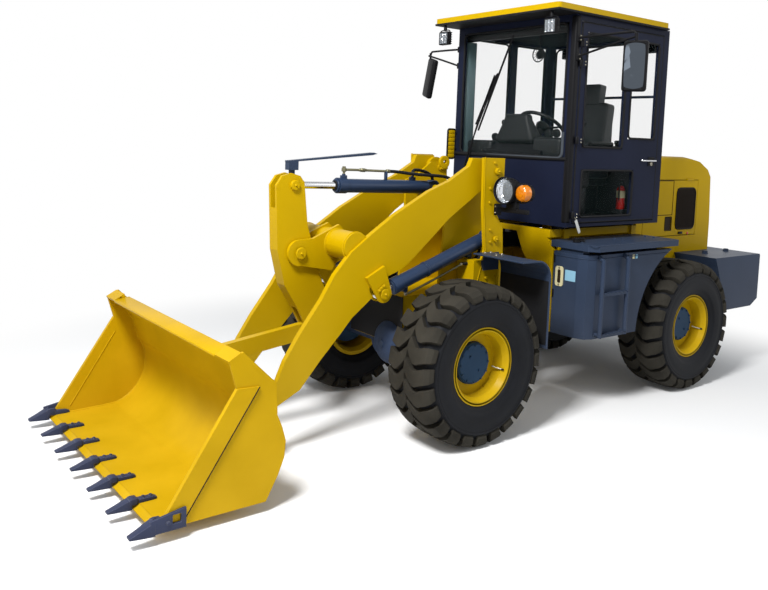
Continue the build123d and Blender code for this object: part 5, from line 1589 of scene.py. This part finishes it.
# %% Lip plate
LIP_SLICES = [(0.4935, 1, 0.8205, 0.8345), (0.5940, 1, 0.8380, 0.8520)]
dress(forged(LIP_SLICES, 0, HALF - 0.1705), "lip_plate", "bucket_body", "bucket_yellow", 40)
print("lip plate done")

# %% [markdown]
# ## Hood doors
# Each side door has a dark mesh in a rounded frame, a small vent and a plain plate
# outline. The mesh is a plane cut into a grid and turned into wires by a modifier.

# %% Flat panels and wire mesh
def panel(low, high, corner, to_space, thickness):
    """A flat plate with round corners, drawn in a plane and thickened to both sides."""
    loop = rounded_loop(low, high, corner)
    piece = loose([to_space(s, t) for s, t in loop], [], [tuple(range(len(loop)))])
    thicken(piece, thickness)
    open_all(piece)
    bpy.ops.mesh.remove_doubles(threshold=0.00001)
    bpy.ops.mesh.normals_make_consistent(inside=False)
    close()
    return piece


def wire_mesh(middle, turn, size, cuts, wire):
    """A woven mesh: a flat grid of cuts across and along, made of wires."""
    start()
    bpy.ops.mesh.primitive_grid_add(x_subdivisions=cuts[0], y_subdivisions=cuts[1], size=1,
                                    location=middle, rotation=turn)
    piece = bpy.context.object
    piece.scale = (*size, 1)
    settle()
    wires = piece.modifiers.new("wires", "WIREFRAME")
    wires.thickness = wire
    bpy.ops.object.modifier_apply(modifier="wires")
    return piece


print("panel and mesh makers ready")

# %% [markdown]
# Both doors carry the same pieces, laid on the door's skin one behind the other: a brown
# backing, the mesh just off it, then its frame.

# %% Hood doors
HOOD_SKIN = 0.400
GRILLE_LOW, GRILLE_HIGH = (-1.880, 1.258), (-1.588, 1.626)
grille_size = [high - low - 0.026 for low, high in zip(GRILLE_LOW, GRILLE_HIGH)]
grille_x, grille_z = ((low + high) / 2 for low, high in zip(GRILLE_LOW, GRILLE_HIGH))
DOOR_BEADS = (
    # name, low corner, high corner, corner radius, wire radius, paint
    ("vent_frame_", (-1.530, 1.250), (-1.428, 1.373), 0.008, 0.0028, "black_plastic"),
    ("plate_outline_", (-1.530, 1.390), (-1.244, 1.690), 0.004, 0.0032, "grille_brown"),
)
REFLECTOR = [(0, 0), (0, 0.012), (0.004, 0.012), (0.007, 0.008), (0.007, 0)]
for name, side in SIDES:
    body = f"hood_door_{name}_body"
    skin = side * HOOD_SKIN
    backing = panel((-1.878, 1.260), (-1.590, 1.624), 0.045, on_side(skin + side * 0.0012),
                    0.0016)
    dress(backing, "grille_backing_" + name, body, "grille_brown")
    woven = wire_mesh(at(grille_x, skin + side * 0.0036, grille_z), (math.pi / 2, 0, 0),
                      grille_size, (22, 28), 0.0022)
    dress(woven, "grille_mesh_" + name, body, "black_plastic")
    frame_bead = bead(GRILLE_LOW, GRILLE_HIGH, on_side(skin + side * 0.0025), 0.050, 0.0055)
    dress(frame_bead, "grille_frame_" + name, body, "black_plastic")
    vent = panel((-1.526, 1.254), (-1.432, 1.369), 0.006, on_side(skin - side * 0.0055), 0.001)
    dress(vent, "vent_dark_" + name, body, "grille_brown")
    for kind, low, high, corner, radius, paint in DOOR_BEADS:
        dress(bead(low, high, on_side(skin), corner, radius), kind + name, body, paint)
    latch = block(at(-1.700, skin, 1.215), at(-1.640, skin + side * 0.010, 1.236), 0.003)
    dress(latch, "hood_latch_" + name, body, "black_plastic")
    # The red reflector carries the red lens finish with its faint painted glow.
    stop = turned(REFLECTOR, at(-1.788, skin, 1.217), (0, side, 0), 24)
    dress(stop, "hood_reflector_" + name, body, "red_lens")
print("hood doors", len(SIDES))

# %% [markdown]
# ## Hood top and rear
# The hood carries the engine's air pipe and its exhaust outlet, and the rear grille
# gets a mesh and a frame, with the tail lamps beside it.

# %% Hood top and rear grille
OUTLET = [(0, 0), (0, 0.075), (0.006, 0.078), (0.012, 0.070), (0.012, 0.046),
          (0.090, 0.046), (0.095, 0.052), (0.120, 0.052), (0.128, 0.040), (0.128, 0)]
for name, x, y in (("air", -1.20, 0.10), ("exhaust", -1.46, -0.14)):
    cap = turned(OUTLET, at(x, y, 1.9005), (0, 0, 1), 40)
    dress(cap, f"{name}_outlet", "rear_body", "black_plastic", 30)
hood_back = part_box("hood")[0].x
low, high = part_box("rear_grille")
woven = wire_mesh((low.x - 0.003, 0, (low.z + high.z) / 2), (0, math.pi / 2, 0),
                  (high.z - low.z - 0.02, high.y - low.y - 0.02), (30, 26), 0.003)
dress(woven, "rear_grille_mesh", "rear_body", "black_plastic")
grille_frame = bead((-0.258, 1.202), (0.258, 1.638), on_end(hood_back + 0.0005), 0.010, 0.006)
dress(grille_frame, "rear_grille_frame", "rear_body", "black_plastic")
print("rear grille done")

# %% [markdown]
# Each tail lamp has a red and an amber block on a black base. The hitch's pin and four
# bolts stand on the counterweight.

# %% Tail lamps and counterweight
HITCH_PIN = [(0, 0), (0, 0.028), (0.010, 0.028), (0.014, 0.022), (0.030, 0.022),
             (0.034, 0.016), (0.034, 0)]
for name, side in SIDES:
    base = block((hood_back - 0.018, side * 0.280, 1.300),
                 (hood_back + 0.004, side * 0.372, 1.500), 0.006)
    dress(base, "tail_lamp_base_" + name, "rear_body", "black_plastic")
    for paint, z in (("red_lens", 1.449), ("amber_lens", 1.351)):
        y = side * 0.326
        lens_block = block((hood_back - 0.034, y - 0.038, z - 0.043),
                           (hood_back - 0.016, y + 0.038, z + 0.043), 0.006)
        dress(lens_block, f"tail_{paint}_{name}", "rear_body", paint)
weight_low, weight_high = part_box("counterweight")
hitch = turned(HITCH_PIN, (weight_low.x + 0.050, 0, weight_high.z), (0, 0, 1), 28)
dress(hitch, "hitch_pin_head", "rear_body", "plated_steel")
spots = [at(x, side * 0.55, weight_high.z) for x in (-2.20, -1.85) for side in (-1, 1)]
bolts("counterweight_bolts", spots, (0, 0, 1), 0.044, "rear_body", "slate_paint")
print("rear dressed")

# %% [markdown]
# ## Tanks and ladders
# The left tank has a level gauge and plain labels on its front, and hinge tabs for its
# lid. The labels are thin plates with nothing printed on them.

# %% Gauge and labels
tank_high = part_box("side_tank_left")[1]
front = tank_high.x
gauge = panel((0.537, 0.921), (0.611, 1.070), 0.020, on_end(front + 0.003), 0.006)
dress(gauge, "gauge_frame", "rear_body", "gauge_cream")
window = panel((0.560, 0.945), (0.588, 1.046), 0.012, on_end(front + 0.0066), 0.0016)
dress(window, "gauge_slot", "rear_body", "grille_brown")
bolts("gauge_bolts", [(front + 0.006, 0.574, z) for z in (0.933, 1.058)], (1, 0, 0), 0.012,
      "rear_body")
label = panel((0.626, 0.972), (0.722, 1.052), 0.004, on_end(front + 0.0007), 0.0010)
dress(label, "tank_label_front", "rear_body", "label_blue")
for count, (x, paint) in enumerate(((-0.392, "gauge_cream"), (-0.430, "label_blue"))):
    label = panel((x - 0.013, 1.128), (x + 0.013, 1.160), 0.002,
                  on_side(tank_high.y + 0.0007), 0.0010)
    dress(label, f"tank_label_side_{count}", "rear_body", paint)
tabs = [block((front - 0.004, 0.513, z - 0.030), (front + 0.006, 0.527, z + 0.030), 0.003)
        for z in (1.120, 0.860)]
dress(joined(tabs), "tank_hinge_tabs", "rear_body", "black_plastic")
print("gauge and labels done")

# %% [markdown]
# Both tanks have a lid seam, two filler caps, a ladder with grip bars and a platform
# with a rolled rim on top.

# %% Tanks and ladders
LID_Z, PLATFORM_Z = 1.150, 1.256
LID_SEAM = ((0.142, 0.520), (0.142, 0.733), (0.113, 0.804), (0.046, 0.832), (-0.840, 0.832))
FILLER_CAP = [(0, 0), (0, 0.026), (0.010, 0.026), (0.014, 0.022), (0.030, 0.022),
              (0.034, 0.018), (0.034, 0)]
GRIPS, GRIP_STEP = 7, 0.043
for name, side in SIDES:
    spots = [at(x, side * 0.830, LID_Z) for x in (0.010, -0.330)]
    bolts("tank_bolts_" + name, spots, (0, side, 0), 0.018, "rear_body", "slate_paint")
    seam = pipe([at(x, side * y, LID_Z) for x, y in LID_SEAM], 0.0035, bend=0)
    dress(seam, "tank_lid_seam_" + name, "rear_body", "slate_paint", 60)
    caps = [turned(FILLER_CAP, at(x, side * 0.668, PLATFORM_Z), (0, 0, 1), 28)
            for x in (0.085, 0.030)]
    dress(joined(caps), "filler_caps_" + name, "rear_body", "black_plastic", 30)
    grips = [block(at(x - 0.008, side * 0.852, z), at(x + 0.008, side * 0.894, z + 0.004),
                   0.001, 1)
             for x in (-0.262 + k * GRIP_STEP for k in range(GRIPS)) for z in (0.599, 0.904)]
    dress(joined(grips), "ladder_grips_" + name, "rear_body", "slate_paint")
    near_y, far_y = sorted((side * 0.482, side * 0.878))
    rail = bead((-0.896, near_y), (0.134, far_y), on_top(1.254), 0.040, 0.0035)
    dress(rail, "platform_rim_" + name, "rear_body", "slate_paint", 60)
    spots = [at(x, side * y, PLATFORM_Z) for x in (0.080, -0.400, -0.800)
             for y in (0.640, 0.720)]
    bolts("platform_bolts_" + name, spots, (0, 0, 1), 0.018, "rear_body", "slate_paint")
print("tanks", len(SIDES))

# %% [markdown]
# A white tag hangs from the lowest door hinge, and a yellow guard with ribs stands at
# the cab's right front corner in a black frame.

# %% Tag and corner guard
SLATS, SLAT_STEP = 7, 0.0335
tag = panel((-0.014, -0.055), (0.014, 0.055), 0.004, lambda s, t: (s, 0, t), 0.0012)
tag.data.transform(Matrix.Translation(at(0.074, 0.662, 1.372))
                   @ Matrix.Rotation(math.radians(28), 4, "Y"))
dress(tag, "door_tag", "cab_door_body", "label_white")
wire = pipe(path((0.100, 0.652, 1.440), (0.100, 0.660, 1.430), (0.097, 0.662, 1.418)), 0.0015)
dress(wire, "door_tag_wire", "cab_door_body", "plated_steel")
guard_frame = bead((0.174, 1.820), (0.255, 2.066), on_side(-0.606), 0.018, 0.0075)
feet = [pipe(path((0.158, -0.600, z), (0.178, -0.606, z)), 0.006, bend=0)
        for z in (1.90, 2.03)]
dress(joined([guard_frame] + feet), "corner_guard_frame", "rear_body", "black_plastic")
slats = [block(at(0.177, -0.606, 1.826), at(0.252, -0.603, 2.060), 0.001, 1)]
slats += [block(at(0.179, -0.613, z), at(0.250, -0.600, z + 0.029), 0.0035)
          for z in (1.828 + k * SLAT_STEP for k in range(SLATS))]
dress(joined(slats), "corner_guard_slats", "rear_body", "yellow_paint")
print("tag and guard done")

# %% [markdown]
# ## Seat
# The seat has a foam cushion, back and headrest under smooth black vinyl. Each starts
# as a cube cut into a grid. Two lines of its front are pushed in where the cover is
# stitched, then a subdivision surface and a cast swell the rest into a crown. A thin
# cord of piping follows the cover's edge.

# %% Padded pieces
def cushion(name, size, stitched, swell, matrix):
    """A padded block of that size, stitched across at the given shares of its length."""
    length, width, depth = size
    start()
    bpy.ops.mesh.primitive_cube_add(size=1)
    piece = bpy.context.object
    open_all(piece)
    bpy.ops.mesh.subdivide(number_cuts=11)
    close()
    for share in stitched:
        open_points(piece, lambda co: co.z > 0.49 and abs(co.y - share / 2) < 0.03
                    and abs(co.x) < 0.46)
        bpy.ops.transform.translate(value=(0, 0, -0.10))
        close()
    piece.scale = size
    only(piece)
    settle()
    crown = piece.modifiers.new("crown", "CAST")
    crown.factor = swell
    crown.cast_type = "SPHERE"
    crown.use_x = crown.use_y = False
    crown.radius = depth * 1.1
    soft = piece.modifiers.new("soft", "SUBSURF")
    soft.levels = 2
    for modifier in ("crown", "soft"):
        bpy.ops.object.modifier_apply(modifier=modifier)
    open_all(piece)
    bpy.ops.mesh.vertices_smooth(factor=0.5, repeat=16)
    bpy.ops.mesh.normals_make_consistent(inside=False)
    close()
    piece.data.transform(matrix)
    dress(piece, name, "rear_body", "seat_vinyl", 60)
    x, y = length / 2 - 0.012, width / 2 - 0.012
    piping = bead((-x, -y), (x, y), lambda s, t: (s, t, depth * 0.30), 0.035, 0.0042)
    piping.data.transform(matrix)
    dress(piping, name + "_piping", "rear_body", "black_rubber", 60)


print("cushion maker ready")

# %% [markdown]
# The seat cushion lies flat. The back and the headrest are the same kind of pad, stood
# upright and leant back a little.

# %% Cushions
SEAT_X = STEER_X - 0.600
upright_turn = (Matrix.Rotation(math.radians(-7), 4, "Y")
                @ Matrix.Rotation(math.radians(90), 4, "Y")
                @ Matrix.Rotation(math.pi, 4, "Z"))
cushion("seat_cushion", (0.490, 0.480, 0.130), (-0.36, 0.36), 0.20,
        Matrix.Translation((SEAT_X + 0.015, 0, 1.765)))
cushion("seat_back", (0.540, 0.440, 0.105), (-0.38, 0.38), 0.20,
        Matrix.Translation((SEAT_X - 0.195, 0, 2.060)) @ upright_turn)
cushion("seat_headrest", (0.175, 0.250, 0.085), (), 0.15,
        Matrix.Translation((SEAT_X - 0.222, 0, 2.400)) @ upright_turn)
print("cushions done")

# %% [markdown]
# Under the cushions the seat has a boxed base, a tray and a moulded back shell, and two
# thin posts hold its headrest. The base's sides are inset, which keeps them flat between
# their rounded edges when they are shaded. The armrests are padded bars on bent tubes.

# %% Seat frame and armrests
base = block((SEAT_X - 0.180, -0.170, 1.392), (SEAT_X + 0.180, 0.170, 1.640), 0.012)
open_faces(base, lambda centre, normal: abs(normal.z) < 0.1 and centre.z > 1.45
           and max(abs(normal.x), abs(normal.y)) > 0.99)
bpy.ops.mesh.inset(thickness=0.020)
close()
tray = block((SEAT_X - 0.215, -0.215, 1.640), (SEAT_X + 0.235, 0.215, 1.705), 0.014)
posts = [pipe([(SEAT_X - 0.200, y, 2.290), (SEAT_X - 0.215, y, 2.360)], 0.006, bend=0)
         for y in (-0.060, 0.060)]
shell = block((SEAT_X - 0.262, -0.215, 1.720), (SEAT_X - 0.246, 0.215, 2.290), 0.007)
seat_frame = dress(joined([base, tray, shell] + posts), "seat_frame", "rear_body", "cab_black")
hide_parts("seat")
rests = []
for y in (-0.262, 0.262):
    side = math.copysign(1, y)
    rests += [block((SEAT_X - 0.200, y - 0.028, 1.960), (SEAT_X + 0.090, y + 0.028, 2.005),
                    0.016, 4),
              pipe([(SEAT_X - 0.190, y, 1.975), (SEAT_X - 0.215, side * 0.240, 1.900),
                    (SEAT_X - 0.215, side * 0.225, 1.800)], 0.011)]
dress(joined(rests), "armrests", "rear_body", "cab_black")
print("seat done")

# %% [markdown]
# ## Controls
# A dark instrument hood stands over the dashboard. It is a soft-edged block whose top
# is drawn in, with a tray on each side and three round gauges.

# %% Dashboard
GAUGE = [(0, 0), (0, 0.034), (0.020, 0.034), (0.024, 0.030), (0.024, 0.026), (0.012, 0.024),
         (0.012, 0)]
dash = block(at(-0.060, -0.235, 1.960), at(0.085, 0.180, 2.200), 0.045, 5)
open_faces(dash, lambda centre, normal: centre.z > 2.14)
bpy.ops.transform.resize(value=(0.55, 0.62, 1), center_override=at(0.050, -0.020, 2.2))
close()
trays = [block(at(-0.010, -0.530, 1.850), at(0.110, -0.240, 1.985), 0.030, 4),
         block(at(-0.020, 0.200, 1.860), at(0.105, 0.480, 2.020), 0.030, 4)]
gauges = [turned(GAUGE, place, (-1, 0, 0.25), 24) for place in
          path((0.010, 0.270, 2.045), (0.010, 0.350, 2.050), (0.010, -0.300, 2.010))]
dress(joined([dash] + trays + gauges), "instrument_hood", "rear_body", "cab_black")
face = panel((-0.120, 2.040), (0.060, 2.150), 0.020,
             lambda s, t: (STEER_X - 0.058 + (t - 2.0) * 0.16, s, t), 0.004)
dress(face, "instrument_face", "rear_body", "lamp_cover")
print("dashboard done")

# %% [markdown]
# The levers are rods with turned knobs. Three stand on a console to the left of the
# seat, and one stands on the right.

# %% Levers
KNOB = [(0, 0), (0, 0.011), (0.010, 0.017), (0.026, 0.019), (0.040, 0.015), (0.046, 0.006),
        (0.047, 0)]
LEVERS = ((-0.190, 0.300, 2.120), (-0.230, 0.345, 2.140), (-0.270, 0.390, 2.120),
          (-0.120, -0.330, 2.120))
knobs, rods = [], []
for x, y, z in LEVERS:
    rods.append(pipe(path((x + 0.020, y * 0.98, 1.860), (x + 0.008, y, 2.000), (x, y, z)),
                     0.006))
    knobs.append(turned(KNOB, at(x, y, z - 0.004), (-0.05, 0, 1), 20))
stand = block(at(-0.330, 0.262, 1.640), at(-0.080, 0.430, 1.880), 0.020, 3)
foot = block(at(-0.310, 0.275, 1.392), at(-0.100, 0.417, 1.645), 0.006)
dress(joined(rods + [stand, foot]), "lever_console", "rear_body", "cab_black")
dress(joined(knobs), "lever_knobs", "rear_body", "black_rubber")
print("levers", len(LEVERS))

# %% [markdown]
# The steering wheel is a torus with three spokes and a padded hub, tilted towards the
# seat.

# %% Steering wheel
WHEEL_HUB = [(-0.035, 0), (-0.035, 0.030), (-0.015, 0.052), (0.010, 0.056), (0.020, 0.050),
             (0.025, 0.030), (0.026, 0)]
start()
bpy.ops.mesh.primitive_torus_add(major_radius=0.190, minor_radius=0.0145, major_segments=72,
                                 minor_segments=16)
rim = bpy.context.object
spokes = [pipe([(*polar(0.040, a), -0.012), (*polar(0.120, a), -0.016),
                (*polar(0.186, a), 0)], 0.009) for a in (math.pi / 2, -math.pi / 2, math.pi)]
hub = turned(WHEEL_HUB, (0, 0, 0), (0, 0, 1), 32)
wheel_piece = joined([rim, hub] + spokes)
tilt = math.atan2(0.180, 0.260)
wheel_piece.data.transform(Matrix.Translation(at(-0.230, 0, 2.110))
                           @ Matrix.Rotation(-tilt, 4, "Y"))
dress(wheel_piece, "steering_wheel_rim", "rear_body", "cab_black", 60)
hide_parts("steering_wheel")
print("steering wheel tilted", round(math.degrees(tilt)), "degrees")

# %% [markdown]
# The fire extinguisher by the door is a red bottle with a pale wrap and a black valve,
# lever and nozzle.

# %% Extinguisher
BOTTLE = [(0, 0), (0, 0.030), (0.005, 0.034), (0.150, 0.034), (0.165, 0.031),
          (0.182, 0.018), (0.190, 0.013), (0.190, 0)]
VALVE = [(0, 0), (0, 0.018), (0.018, 0.018), (0.020, 0.012), (0.040, 0.012), (0.042, 0.0)]
bottle = turned(BOTTLE, at(-0.640, 0.500, 1.470), (0, 0, 1), 40)
dress(bottle, "extinguisher_bottle", "rear_body", "extinguisher_red", 40)
wrap = collar(at(-0.640, 0.500, 1.560), (0, 0, 1), 0.0340, 0.0350, 0.060, 40)
dress(wrap, "extinguisher_wrap", "rear_body", "gauge_cream", 40)
valve = turned(VALVE, at(-0.640, 0.500, 1.658), (0, 0, 1), 24)
lever = block(at(-0.660, 0.492, 1.698), at(-0.590, 0.508, 1.706), 0.003)
nozzle = pipe(path((-0.640, 0.500, 1.680), (-0.600, 0.512, 1.672), (-0.594, 0.516, 1.610),
                   (-0.597, 0.516, 1.545)), 0.006)
foot = block(at(-0.685, 0.455, 1.392), at(-0.595, 0.545, 1.470), 0.006)
dress(joined([valve, lever, nozzle, foot]), "extinguisher_valve", "rear_body", "cab_black", 40)
print("extinguisher done")

# %% [markdown]
# ## Linings
# The cab's inside is lined with dark trim, a felt ceiling and a floor mat. All of them
# are blocks, so one table holds their corners, edges and finishes.

# %% Linings
LININGS = (
    # name, low corner, high corner, edge radius, edge steps, finish
    ("cab_floor_mat", (-0.930, -0.560, 1.3925), (0.110, 0.560, 1.3985), 0.002, 1,
     "black_rubber"),
    ("cab_rear_lining", (-0.940, -0.540, 1.400), (-0.880, 0.540, 1.900), 0.012, 2, "cab_black"),
    ("cab_right_lining", (-0.870, -0.585, 1.400), (0.060, -0.555, 1.830), 0.012, 2,
     "cab_black"),
    ("cab_roof_lining", (-0.935, -0.570, 2.858), (0.110, 0.570, 2.872), 0.006, 2,
     "ceiling_felt"),
    ("front_post_lining", (-0.004, -0.588, 1.850), (0.118, -0.570, 2.800), 0.006, 2,
     "post_teal"),
    ("windscreen_header", (0.100, -0.585, 2.790), (0.122, 0.585, 2.870), 0.006, 2, "cab_black"),
    ("roof_underside", (-0.9258, -0.6568, 2.9040), (0.4008, 0.6568, 2.9195), 0.001, 1,
     "black_rubber"),
    ("cab_fan_box", (-0.800, 0.430, 2.600), (-0.700, 0.560, 2.760), 0.012, 2, "cab_black"),
)
for name, low, high, soften, rounds, paint in LININGS:
    dress(block(at(*low), at(*high), soften, rounds), name, "rear_body", paint)
print("linings", len(LININGS))
